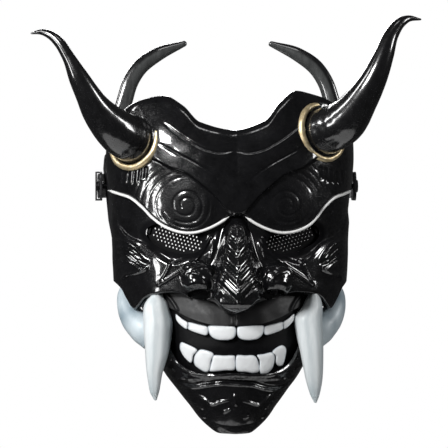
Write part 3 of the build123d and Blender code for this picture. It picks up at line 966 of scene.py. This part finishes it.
def rim_bead(side):
    """The pale raised line along the lower edge of an eyelid."""
    line = curve_points(LID_RIM, RIM_STEPS)
    a, z = line[:, 0], line[:, 1]
    x = side * a + EYE_SKEW * (1 - ease(a, 50, 72))
    inside_z = z + 1.0
    base = np.stack([x, surface_y(FACE_LEVELS, x, z), z], -1)
    lift = face_relief(x, inside_z + 0.4)
    half, front, rear = level_curves(FACE_LEVELS, z)
    turn = x / half
    normal = np.stack([turn / half, -np.sqrt(np.clip(1 - turn**2, 0, 1)) / (rear - front), 0 * x], -1)
    normal /= np.linalg.norm(normal, axis=1, keepdims=True)
    centre = base + normal * (lift - 0.1)[:, None]
    steps = np.arange(RIM_STEPS)
    radius = RIM_RADIUS * np.clip(np.minimum(steps, steps[::-1]) / 6, 0.25, 1)
    return tube(centre, radius, 16)


def tube(centre, radius, around):
    """Rings of a round tube along points."""
    turn = full_turn(around)[:, None]
    ahead = np.gradient(centre, axis=0)
    ahead /= np.linalg.norm(ahead, axis=1, keepdims=True)
    rings = []
    side = np.cross(ahead[0], (0.0, 1.0, 0.01))
    for point, direction, r in zip(centre, ahead, radius):
        side = side - direction * (side @ direction)
        side /= np.linalg.norm(side)
        up = np.cross(direction, side)
        rings.append(point + r * (np.cos(turn) * side + np.sin(turn) * up))
    return np.array(rings)


# ------------------------------------------------------------------ jaw
LIP_CREASE = [(-46, -110), (-35, -113.5), (-22.5, -112), (-10, -110.3), (0, -110.8), (14, -112), (24, -115),
              (34, -116), (44, -112)]
CHIN_WRINKLES = [
    [(-30, -121), (-22.5, -124.8), (-17.3, -128.4), (-11.6, -126.3), (-3.9, -124.8)],
    [(30, -120), (23, -125), (18, -128.5), (10, -126.5), (4, -125)],
    [(-33, -127), (-28, -130.2), (-24, -132.6)],
    [(31, -126.5), (27, -130), (23, -132.5)],
    [(-27, -136), (-22.5, -140)],
    [(26, -136), (21, -140)],
    [(-9, -134.4), (-3.6, -131.2)],
    [(10, -136.5), (6.5, -139.5)],
]
FANG_WRINKLES = [
    [(51, -91), (48, -96)], [(54, -100), (49, -102), (45, -104.8)], [(52, -84), (49, -88)],
    [(48, -108), (43, -109.5), (38, -109)],
]
FANG_FOLD = [(76, -48), (70, -45.5), (64, -43.6), (57, -43.4), (51, -46), (47, -50.5), (43.5, -56.5)]


def mouth_outline():
    top = curve_points(MOUTH_TOP, 24)
    bottom = curve_points(MOUTH_BOTTOM, 30)
    right = list(map(tuple, top[::-1])) + list(map(tuple, bottom))
    left = [(-x, z) for x, z in reversed(right)]
    return right + left[1:-1]


def jaw_relief(x, z):
    a = np.abs(x)
    outline = mouth_outline()
    gap, _ = distance(x, z, outline + outline[:1])
    height = 1.3 * np.exp(-(((gap - 1.4) / 1.3) ** 2)) * ease(-z, 72, 88)
    lower_lip = ease(-z, 96, 104) * (1 - ease(-z, 108, 112))
    height += 1.2 * lower_lip * (1 - ease(a, 34, 50))
    height -= 1.4 * crest(x, z, LIP_CREASE, 1.3)
    height += 1.2 * crest(x, z + 2.2, LIP_CREASE, 1.0)
    chin = np.clip(1 - (x / 30) ** 2 - ((z + 128) / 17) ** 2, 0, 1)
    height += 1.2 * chin
    for line in CHIN_WRINKLES:
        height += 1.1 * crest(x, z, line, 0.8)
    height += 1.2 * crest(x, z, [(-0.5, -119.5), (-0.2, -124), (0.4, -129.5)], 1.1)
    for line in FANG_WRINKLES:
        height += 1.2 * crest(a, z, line, 0.8)
    height += 1.8 * crest(a, z, FANG_FOLD, 1.0, taper=False)
    height -= 0.5 * crest(a, z, [(0, -60), (0, -67)], 0.8, taper=False)
    height += 0.4 * crest(a, z, [(1.8, -60), (2.0, -66)], 0.8, taper=False)
    height += 0.15 * wobble(x, 0 * x, z, 8, 2)
    return height


def jaw_shell():
    rows, columns = 221, 241
    fraction = fractions(columns, 0.8)
    low, high = JAW_LEVELS[0][0], JAW_LEVELS[-1][0]

    def grid(count, turns):
        z = np.linspace(low, high, count)[:, None] + 0 * turns
        return shell_points(JAW_LEVELS, np.broadcast_to(turns, z.shape), z)

    plain = grid(rows, fraction)
    drop = rounded_edge(rows, 118)[:, None] + rounded_edge(columns, 150)[None, :]
    relief = jaw_relief(plain[..., 0], plain[..., 2]) - drop
    outer = plain + normals(plain) * relief[..., None]
    lining = grid((rows + 1) // 2, fraction[::2])
    inner = lining - normals(lining) * WALL
    points, faces = closed_sheet(outer, inner)
    piece = make("sculpted_jaw", points, faces, LACQUER, body=None)
    cut(piece, front_prism(mouth_outline()))
    tidy_mesh(piece, 80)
    co = vertex_places(piece)
    satin = ease(-co[:, 2], 38, 42) * (1 - ease(-co[:, 2], 66, 70)) * (1 - ease(np.abs(co[:, 0]), 48, 56))
    set_attribute(piece, "satin", satin)
    finish_piece(piece, LACQUER, "mask")
    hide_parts("jaw_shell")
    return piece


def vertex_places(piece):
    """The piece's points in millimetres."""
    co = np.zeros(len(piece.data.vertices) * 3)
    piece.data.vertices.foreach_get("co", co)
    return co.reshape(-1, 3) / MM


def set_attribute(piece, name, values):
    layer = piece.data.attributes.get(name) or piece.data.attributes.new(name, "FLOAT", "POINT")
    layer.data.foreach_set("value", np.asarray(values, np.float32))


# ------------------------------------------------------------------ teeth
# Outlines as (x, z), from the top left corner round.
UPPER_TEETH = [
    [(-20, -69.2), (-15, -68.4), (-4, -68.8), (-0.4, -70), (-0.8, -76), (-5, -78.6), (-14, -78.4),
     (-18.8, -75)],
    [(-34.8, -66.2), (-28, -67.6), (-22, -69), (-20.9, -71), (-21.6, -74.8), (-25, -75), (-34.6, -71.6),
     (-35.2, -68.6)],
    [(-44.2, -60.4), (-40.2, -63.6), (-36.4, -66), (-36.2, -68.6), (-37, -70.9), (-40.6, -68.8),
     (-43.8, -65.4), (-44.8, -62.2)],
]
LOWER_TEETH_LEFT = [
    [(-16.4, -91.2), (-9, -91.2), (-2, -91.2), (-0.8, -93), (-1, -101.2), (-8, -102), (-17.6, -103),
     (-19.2, -101.4), (-17.6, -95)],
    [(-28.4, -88.4), (-24.8, -86.9), (-17.2, -89.6), (-18.8, -95), (-19.8, -101.6), (-23.2, -103.3),
     (-30.2, -98.6), (-30.8, -92.7)],
    [(-40.6, -81.9), (-36.4, -83), (-29.4, -86.8), (-32, -91), (-33, -95.8), (-34.7, -96.3), (-39.2, -91.6),
     (-41.7, -86)],
]
LOWER_TEETH_RIGHT = [
    [(1.2, -91.7), (8, -91.3), (14, -91.4), (16.8, -94.8), (18, -102.4), (14, -104.3), (8.8, -103.4),
     (1.4, -101.9)],
    [(17.2, -91.2), (22, -90.4), (28.2, -89.4), (30.2, -92.7), (28.9, -100.2), (24.8, -104.4), (20.6, -104.9),
     (18.7, -101.9), (18.9, -95.2)],
    [(29.2, -88.4), (35.6, -84.3), (39.4, -86.8), (38.8, -93.4), (37, -98.6), (33.7, -99.4), (31.7, -96.8),
     (31.5, -91.8)],
]
TOOTH_GROWTH = 1.06
# A tooth's section: how much of the outline each ring keeps, and how far behind the shell it is.
TOOTH_RINGS = [(0.94, 4.8), (1.0, 3.6), (1.0, 1.6), (0.985, 0.7), (0.94, 0.15), (0.86, -0.2), (0.7, -0.5),
               (0.45, -0.7), (0.2, -0.75), (0.04, -0.75)]


def tooth(outline):
    curve = closed_curve(outline, 72)
    centre = curve.mean(0)
    curve = centre + (curve - centre) * TOOTH_GROWTH
    rings = []
    for keep, depth in TOOTH_RINGS:
        x, z = (centre + (curve - centre) * keep).T
        y = surface_y(JAW_LEVELS, x, z) + depth + 0.08 * wobble(x, x, z, 2.5)
        rings.append(np.stack([x, y, z], -1))
    return np.array(rings)


def teeth(name, outlines, node):
    points, faces, tooth_painted_shade = [], [], []
    for outline in outlines:
        rings = tooth(outline)
        new_points, new_faces = rings_mesh(rings)
        faces += [[i + len(points) for i in face] for face in new_faces]
        points += new_points.tolist()
        # Painted shade: darkest over the back of each tooth's sides, light over its front face.
        tone_and_painted_light = np.repeat([0.9, 0.8, 0.7, 0.55, 0.3, 0.08, 0, 0, 0, 0], rings.shape[1])
        tooth_painted_shade += tone_and_painted_light.tolist() + [0.9, 0]
    piece = make(name, points, faces, TOOTH, sharp=60)
    set_attribute(piece, "tone_and_painted_light", tooth_painted_shade)
    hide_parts(node)


# ------------------------------------------------------------------ horns, fangs and tusks
TIP_CROWDING = 1.15


def sweep(stations, count):
    """Smooth centre points and radii of a horn, closer together towards its tip."""
    table = np.array(stations, float)
    reach = lengths(table[:, :3])
    at = reach[-1] * (1 - (1 - np.linspace(0, 1, count)) ** TIP_CROWDING)
    curve = between(reach, table, np.gradient(table, reach, axis=0), at)
    centre, radius = curve[:, :3], flow(reach, table[:, 3], at)
    return centre, radius, at / reach[-1]


def round_tip(rings):
    """Adds shrinking rings so that the last ring ends in a round point."""
    last, before = rings[-1], rings[-2]
    centre = last.mean(0)
    radius = np.linalg.norm(last - centre, axis=1).mean()
    ahead = centre - before.mean(0)
    ahead /= np.linalg.norm(ahead)
    extra = []
    for k in range(1, 6):
        t = k / 6 * math.pi / 2
        extra.append(centre + (last - centre) * math.cos(t) + ahead * radius * math.sin(t))
    return np.concatenate([rings, np.array(extra)])


def front_horn(side, stations):
    centre, radius, part = sweep(stations, 190)
    rings = tube(centre, radius, 72)
    offset = rings - centre[:, None, :]
    x, y, z = rings[..., 0], rings[..., 1], rings[..., 2]
    base = (1 - ease(part, 0.0, 0.45))[:, None]
    lumps = 0.16 * wobble(x, y, z, 5, 3) * base + 0.10 * wobble(x, y, z, 11, 1)
    folds = base * 0.09 * np.sin(part[:, None] * 110 + 1.4 * wobble(x, y, z, 11, 5))
    rings = centre[:, None, :] + offset * (1 + (lumps + folds - 0.25) / (radius[:, None] + 4))[..., None]
    rings = round_tip(rings)
    points, faces = rings_mesh(rings)
    piece = make(f"{side}_horn_front", points, faces, HORN, sharp=60)
    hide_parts(f"{side}_front_horn")


def horn_ring(side, stations):
    """A half-round brass band at the foot of a horn, a little uneven as if cast and rubbed."""
    root, seat = Vector(stations[0][:3]), Vector(stations[1][:3])
    axis = (seat - root).normalized()
    first = axis.orthogonal().normalized()
    second = axis.cross(first)
    rings = []
    for t in full_turn(160):
        out = first * math.cos(t) + second * math.sin(t)
        ring = []
        for s in full_turn(28):
            wide, tall = math.cos(s), math.sin(s)
            flat = 0.55 if wide < 0 else 1.0
            lump = 1 + 0.03 * math.sin(7 * t + 2 * s) + 0.02 * math.sin(17 * t)
            r = RING_RADIUS + RING_TUBE * RING_SWELL * flat * wide * lump
            ring.append(seat + out * r + axis * RING_TUBE * RING_SWELL * tall * lump)
        rings.append(ring)
    points = np.array(rings, float)
    faces = grid_faces(*points.shape[:2], around=True, ring=True)
    piece = make(f"{side}_ring", points, faces, BRASS, sharp=60)
    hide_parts(f"{side}_horn_ring")


def rear_horn(side, sign):
    stations = [(sign * x, y, z, r) for x, y, z, r in REAR_HORN]
    centre, radius, part = sweep(stations, 170)
    rings = tube(centre, radius, 64)
    offset = rings - centre[:, None, :]
    length = np.linalg.norm(offset, axis=2, keepdims=True)
    unit = offset / length
    facing = unit[..., 1]
    inward = -sign * unit[..., 0] * 0.75 + unit[..., 2] * -0.35 - facing * 0.5
    ridge = 0.10 * np.cos(3 * np.arctan2(facing, inward) + 0.4)
    rings = centre[:, None, :] + offset * (0.94 + ridge[..., None] * (1 - part[:, None, None] * 0.5))
    rings = round_tip(rings)
    # Painted sheen: the side of the horn facing inward, down and forward is given a lighter grey colour.
    tone_and_painted_light = ease(inward, 0.1, 0.45)
    tone_and_painted_light = np.concatenate([tone_and_painted_light, np.repeat(tone_and_painted_light[-1:], 5, axis=0)]).ravel()
    points, faces = rings_mesh(rings)
    piece = make(f"{side}_horn_rear", points, faces, HORN, sharp=60)
    set_attribute(piece, "tone_and_painted_light", np.concatenate([tone_and_painted_light, [0, 0]]))
    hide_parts(f"{side}_rear_horn")


def fang(side, stations):
    """A long tooth hanging at a mouth corner, from (z, x, y, half width, half depth) stations."""
    table = np.array(stations[::-1], float)
    z = np.linspace(table[-1, 0], table[0, 0], 150)
    x, y, rx, ry = [flow(table[:, 0], table[:, k], z) for k in range(1, 5)]
    rx = rx * np.sqrt(1 - (np.clip(z + FANG_SHOULDER[0], 0, None) / FANG_SHOULDER[1]) ** 2)
    turn = full_turn(80)
    flutes = 1 + 0.012 * np.sin(9 * turn)[None, :] + 0.01 * np.sin(5 * turn + 1)[None, :]
    rings = np.stack([
        x[:, None] + rx[:, None] * np.cos(turn) * flutes,
        y[:, None] + ry[:, None] * np.sin(turn) * flutes,
        z[:, None] + 0 * turn,
    ], -1)
    top = rings[0]
    centre = top.mean(0)
    cap = []
    for k in range(5, 0, -1):
        t = k / 6 * math.pi / 2
        ring = centre + (top - centre) * math.cos(t)
        ring[:, 2] = top[:, 2] + 4.0 * math.sin(t)
        cap.append(ring)
    rings = np.concatenate([np.array(cap), rings])
    rings = round_tip(rings)
    points, faces = rings_mesh(rings)
    piece = make(f"{side}_fang_bone", points, faces, FANG_BONE, sharp=60)
    co = vertex_places(piece)
    off_middle = co[:, 0] - np.interp(co[:, 2], z[::-1], x[::-1])
    # Painted shade: the fang darkens towards its right side, away from the lamps on the left. It also darkens
    # in a stripe just left of its middle and towards its tip.
    shade = 0.55 * ease(off_middle, 1, 10)
    shade += 0.5 * np.exp(-(((off_middle + 2.5) / 2.2) ** 2)) * 0.6
    shade += 0.4 * ease(-co[:, 2], 105, 126)
    set_attribute(piece, "tone_and_painted_light", shade)
    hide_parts(f"{side}_fang")


def tusk(side, sign):
    stations = [(sign * x, y, z, r) for x, y, z, r in TUSK]
    centre, radius, part = sweep(stations, 130)
    rings = tube(centre, radius, 72)
    rings = round_tip(rings)
    points, faces = rings_mesh(rings)
    piece = make(f"{side}_tusk_bone_painted_shade", points, faces, TUSK_BONE_PAINTED_SHADE, sharp=60)
    co = vertex_places(piece)
    set_attribute(piece, "tone_and_painted_light", 0.35 + 0.5 * wobble(co[:, 0], co[:, 1], co[:, 2], 14, 4))
    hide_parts(f"{side}_tusk")


# ------------------------------------------------------------------ eye screens
def eye_frame(side):
    x, z = side * EYE_CENTRE[0], EYE_CENTRE[1]
    y = float(surface_y(FACE_LEVELS, x, z))
    half, front, rear = (float(v) for v in level_curves(FACE_LEVELS, np.array(float(z))))
    angle = math.asin(x / half)
    yaw = math.atan2(math.sin(angle) / half, math.cos(angle) / (rear - front))
    turn = Matrix.Rotation(yaw, 4, "Z") @ Matrix.Rotation(math.radians(-side * EYE_TILT), 4, "Y")
    return Matrix.Translation((x, y, z)) @ turn


def eye_screen(side, name, hole):
    """A perforated plate behind an eye opening."""
    corner, steps = 9.0, 12
    outline = []
    for cx, cz, start in ((1, 1, 0), (-1, 1, 90), (-1, -1, 180), (1, -1, 270)):
        for k in range(steps + 1):
            t = math.radians(start + 90 * k / steps)
            outline.append((cx * (SCREEN_HALF[0] - corner) + corner * math.cos(t),
                            cz * (SCREEN_HALF[1] - corner) + corner * math.sin(t)))
    frame_at = eye_frame(side)

    def prism(shapes, near, far):
        points, faces = [], []
        for shape in shapes:
            rings = [[tuple(frame_at @ Vector((x, y, z))) for x, z in shape] for y in (near, far)]
            new_points, new_faces = rings_mesh(rings)
            faces += [[i + len(points) for i in face] for face in new_faces]
            points += new_points.tolist()
        return points, faces

    points, faces = prism([outline], SCREEN_DEPTH - SCREEN_THICK, SCREEN_DEPTH)
    plate = make(f"{name}_screen_plate", points, faces, SCREEN, body=None)
    holes = []
    row_step = SCREEN_PITCH * math.cos(math.radians(30))
    turns = full_turn(14)
    for row in range(-3, 4):
        for column in range(-7, 8):
            x, z = (column + (row % 2) / 2) * SCREEN_PITCH, row * row_step
            reach = (x / (EYE_HALF[0] - SCREEN_MARGIN)) ** 2 + (z / (EYE_HALF[1] - SCREEN_MARGIN)) ** 2
            if reach < 1:
                holes.append([(x + hole * math.cos(t), z + hole * math.sin(t)) for t in turns])
    points, faces = prism(holes, SCREEN_DEPTH - SCREEN_THICK - 1, SCREEN_DEPTH + 1)
    cutter = make("holes", points, faces, SCREEN, body=None)
    cut(plate, cutter)
    tidy_mesh(plate, 40)
    finish_piece(plate, SCREEN, "mask")
    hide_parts(f"{name}_eye_screen")


# ------------------------------------------------------------------ side panels, strap and fittings
def side_panel(side, name):
    """A bent plate behind each side of the face, with its edge rounded over."""
    zs = np.linspace(-18, 68, 73)
    front = np.full(73, 30.0)
    rear = np.interp(zs, [-18, -8, 10, 52, 62, 68], [44, 70, 82, 82, 70, 44])
    ys = front[:, None] + (rear - front)[:, None] * np.linspace(0, 1, 61)[None, :]
    z = zs[:, None] + 0 * ys
    half = np.interp(z, *zip(*PANEL_LEVELS))
    x = flow([28, 36, 43, 50, 82], [-5.8, -4.6, -3.4, -1.8, PANEL_FLARE], ys) + half
    outer = np.stack([side * x, ys, z], -1)
    inner = outer.copy()
    inner[..., 0] -= side * PANEL_WALL
    points, faces = closed_sheet(outer, inner)
    piece = make(f"{name}_panel_plate", points, faces, PANEL, sharp=35)
    round_edges(piece, 0.7, 3)
    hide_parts(f"{name}_side_panel")


def strap_path(count):
    """Points and directions of the strap's middle line, from the left tab round to the right one."""
    x = TAB_INNER_X + TAB_THICK + STRAP_THICK / 2
    straight = STRAP_BACK_Y - STRAP_CORNER - STRAP_START_Y
    arc = math.pi / 2 * STRAP_CORNER
    back = 2 * (x - STRAP_CORNER)
    total = 2 * straight + 2 * arc + back
    points = []
    for s in np.linspace(0, total, count):
        if s < straight:
            points.append((-x, STRAP_START_Y + s, 1, 0))
        elif s < straight + arc:
            t = (s - straight) / STRAP_CORNER
            corner_y = STRAP_BACK_Y - STRAP_CORNER * (1 - math.sin(t))
            points.append((-x + STRAP_CORNER * (1 - math.cos(t)), corner_y, math.cos(t), math.sin(t)))
        elif s < straight + arc + back:
            points.append((-x + STRAP_CORNER + s - straight - arc, STRAP_BACK_Y, 0, 1))
        elif s < total - straight:
            t = (s - straight - arc - back) / STRAP_CORNER
            corner_y = STRAP_BACK_Y - STRAP_CORNER * (1 - math.cos(t))
            points.append((x - STRAP_CORNER * (1 - math.sin(t)), corner_y, math.sin(t), -math.cos(t)))
        else:
            points.append((x, STRAP_START_Y + total - s, -1, 0))
    return points, total


def head_strap():
    """The elastic band, with a woven section that follows its path."""
    count, around = 560, 40
    path, total = strap_path(count)
    points, along, across = [], [], []
    turns = full_turn(around)
    for k, (x, y, forward, sideways) in enumerate(path):
        s = total * k / (count - 1)
        for t in turns:
            high = math.copysign(abs(math.cos(t)) ** 0.55, math.cos(t)) * STRAP_WIDTH / 2
            out = math.copysign(abs(math.sin(t)) ** 0.8, math.sin(t)) * STRAP_THICK / 2 * 0.95
            out *= 1 + 0.10 * math.sin(2 * math.pi * s / 2.6) * (abs(high) < STRAP_WIDTH / 2 - 1.5)
            out *= 1 - 0.12 * math.cos(2 * math.pi * high / 2.4)
            # The outward side of the path is to the left of its direction of travel.
            points.append((x - forward * out, y + sideways * out, STRAP_Z + high))
            along.append(s)
            across.append(high)
    faces = grid_faces(count, around, around=True)
    faces.append(list(range(around))[::-1])
    faces.append([(count - 1) * around + c for c in range(around)])
    piece = make("strap_webbing", points, faces, WEBBING, body="strap", sharp=50)
    set_attribute(piece, "along", along)
    set_attribute(piece, "across", across)
    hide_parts("head_strap")


def bevelled(node, width, material_used):
    """Keeps a CAD part, welds its skin and rounds its edges slightly."""
    piece = frame["nodes"][node]
    piece.data.materials.clear()
    piece.data.materials.append(material_used)
    weld(piece)
    round_edges(piece, width, 2)


# ------------------------------------------------------------------ pads
PAD_PRESSURE = 2.2
PAD_FRAMES = 18
PAD_START = 0.88
PAD_VOXEL = 1.5


def pad(node):
    """A foam pad: a cloth cover blown up from inside the CAD block's own outline."""
    source = frame["nodes"][node]
    mesh = source.data.copy()
    piece = bpy.data.objects.new(f"{node}_cover", mesh)
    bpy.context.scene.collection.objects.link(piece)
    mesh.transform(source.matrix_world)
    co = vertex_places(piece)
    centre = co.mean(0)
    small = centre + (co - centre) * PAD_START
    mesh.vertices.foreach_set("co", (small * MM).ravel())
    weld(piece)
    remesh = piece.modifiers.new("remesh", "REMESH")
    remesh.mode = "VOXEL"
    remesh.voxel_size = PAD_VOXEL * MM
    smooth = piece.modifiers.new("smooth", "SMOOTH")
    smooth.iterations = 12
    apply_modifiers(piece)
    inflate(piece)
    tidy_mesh(piece, 60)
    finish_piece(piece, PAD, "mask")
    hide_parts(node)


def inflate(piece):
    """Blows the cover up as cloth and keeps the shape it settles in."""
    cloth = piece.modifiers.new("cloth", "CLOTH")
    settings = cloth.settings
    settings.quality = 6
    settings.mass = 0.1
    settings.tension_stiffness = 25
    settings.compression_stiffness = 25
    settings.shear_stiffness = 12
    settings.bending_stiffness = 0.5
    settings.air_damping = 4
    settings.use_pressure = True
    settings.uniform_pressure_force = PAD_PRESSURE
    settings.effector_weights.gravity = 0
    cloth.point_cache.frame_start = 1
    cloth.point_cache.frame_end = PAD_FRAMES
    before = vertex_places(piece)
    scene = bpy.context.scene
    for number in range(1, PAD_FRAMES + 1):
        scene.frame_set(number)
    apply_modifiers(piece)
    after = vertex_places(piece)
    after += before.mean(0) - after.mean(0)
    piece.data.vertices.foreach_set("co", (after * MM).ravel())
    piece.data.update()
    scene.frame_set(1)


# ------------------------------------------------------------------ build
face_shell()
jaw_shell()
for sign, side in ((-1, "left"), (1, "right")):
    bead_points, bead_faces = rings_mesh(rim_bead(sign))
    make(f"{side}_lid_rim", bead_points, bead_faces, RIM, sharp=60)
    rear_horn(side, sign)
    tusk(side, sign)
    side_panel(sign, side)
for build, left_stations, right_stations in (
    (front_horn, LEFT_FRONT_HORN, RIGHT_FRONT_HORN),
    (horn_ring, LEFT_FRONT_HORN, RIGHT_FRONT_HORN),
    (fang, LEFT_FANG, RIGHT_FANG),
):
    build("left", left_stations)
    build("right", right_stations)
mirrored = [[(1.6 - x, z) for x, z in outline] for outline in UPPER_TEETH]
teeth("teeth_upper", UPPER_TEETH + mirrored, "upper_teeth")
teeth("teeth_lower", LOWER_TEETH_LEFT + LOWER_TEETH_RIGHT, "lower_teeth")
eye_screen(-1, "left", LEFT_SCREEN_HOLE)
eye_screen(1, "right", RIGHT_SCREEN_HOLE)
head_strap()
bevelled("gum_plate", 0.3, GUM)
bevelled("eye_screen_clips", 0.3, SCREEN)
for node in ("side_panel_rivets", "rear_horn_screws", "strap_rivets"):
    bevelled(node, 0.25, BLACK_METAL)
for node in ("left_pivot_rivet", "right_pivot_rivet"):
    bevelled(node, 0.25, BLACK_METAL)
for node in ("horn_screws", "horn_washers", "jaw_screws"):
    bevelled(node, 0.25, STEEL)
for node in ("left_strap_tab", "right_strap_tab", "strap_slider"):
    bevelled(node, 0.3, PANEL)
for node in ("forehead_pad", "left_cheek_pad", "right_cheek_pad"):
    pad(node)


# ------------------------------------------------------------------ stage, light and camera
def floor():
    mesh = bpy.data.meshes.new("floor")
    turns = full_turn(96)
    mesh.from_pydata([(0.5 * math.cos(t), 0.5 * math.sin(t), -0.6) for t in turns], [], [list(range(96))])
    disc = bpy.data.objects.new("floor", mesh)
    bpy.context.scene.collection.objects.link(disc)
    made = material("pale_floor", (0.86, 0.86, 0.86), 0.7)
    into(made, "Base Color", ramp(made, noise(made, place(made), 60, 2), [(0.3, (0.84, 0.84, 0.84)),
                                                                         (0.7, (0.88, 0.88, 0.88))]))
    mesh.materials.append(made)


def area_light(name, azimuth, elevation, reach, width, height, power, aim):
    light = bpy.data.lights.new(name, "AREA")
    light.shape = "RECTANGLE"
    light.size, light.size_y = width, height
    light.energy = power
    lamp = bpy.data.objects.new(name, light)
    bpy.context.scene.collection.objects.link(lamp)
    away = direction(azimuth, elevation)
    lamp.location = Vector(aim) + away * reach
    lamp.rotation_mode = "QUATERNION"
    lamp.rotation_quaternion = away.to_track_quat("Z", "Y")
    lamp.visible_camera = False
    return lamp


def direction(azimuth, elevation):
    a, e = math.radians(azimuth), math.radians(elevation)
    return Vector((math.sin(a) * math.cos(e), -math.cos(a) * math.cos(e), math.sin(e)))


def world(seen, lit):
    made = bpy.data.worlds.new("studio")
    bpy.context.scene.world = made
    made.use_nodes = True
    nodes, links = made.node_tree.nodes, made.node_tree.links
    nodes.clear()
    output = nodes.new("ShaderNodeOutputWorld")
    mix = nodes.new("ShaderNodeMixShader")
    path = nodes.new("ShaderNodeLightPath")
    for socket, strength in ((1, lit), (2, seen)):
        background = nodes.new("ShaderNodeBackground")
        background.inputs["Strength"].default_value = strength
        background.inputs["Color"].default_value = (1, 1, 1, 1)
        links.new(background.outputs[0], mix.inputs[socket])
    links.new(path.outputs["Is Camera Ray"], mix.inputs[0])
    links.new(mix.outputs[0], output.inputs[0])


CAMERA_AZIMUTH = -3
CAMERA_ELEVATION = 1
CAMERA_DISTANCE = 2.2
CAMERA_AIM = (-0.007, 0, 0.009)
FIELD = 0.347
SENSOR = 36


def camera():
    data = bpy.data.cameras.new("camera")
    data.sensor_width = SENSOR
    data.lens = SENSOR * CAMERA_DISTANCE / FIELD
    data.clip_end = 20
    seen = bpy.data.objects.new("camera", data)
    bpy.context.scene.collection.objects.link(seen)
    away = direction(CAMERA_AZIMUTH, CAMERA_ELEVATION)
    seen.location = Vector(CAMERA_AIM) + away * CAMERA_DISTANCE
    seen.rotation_mode = "QUATERNION"
    seen.rotation_quaternion = away.to_track_quat("Z", "Y")
    bpy.context.scene.camera = seen


# Name, azimuth, elevation, distance, width, height, watts and the point aimed at, in degrees and metres.
LIGHTS = [
    ("key", -40, 27, 1.1, 0.24, 0.26, 10.5, (0, 0, 0.02)),
    ("fill", 70, 22, 1.2, 0.22, 0.45, 5, (0, 0, 0.02)),
    ("left", -80, 30, 1.2, 0.16, 0.34, 3, (0, 0, 0.02)),
    ("side", -58, 4, 1.2, 0.16, 0.34, 2.6, (0, 0, 0.02)),
    ("top", 8, 62, 1.3, 0.35, 0.2, 0.8, (0, 0, 0.02)),
    ("back", 190, 24, 1.4, 0.7, 0.5, 12, (0, 0.06, 0)),
]
floor()
world(1.0, 0.03)
for light in LIGHTS:
    area_light(*light)
camera()
bpy.context.scene.view_settings.view_transform = "Standard"
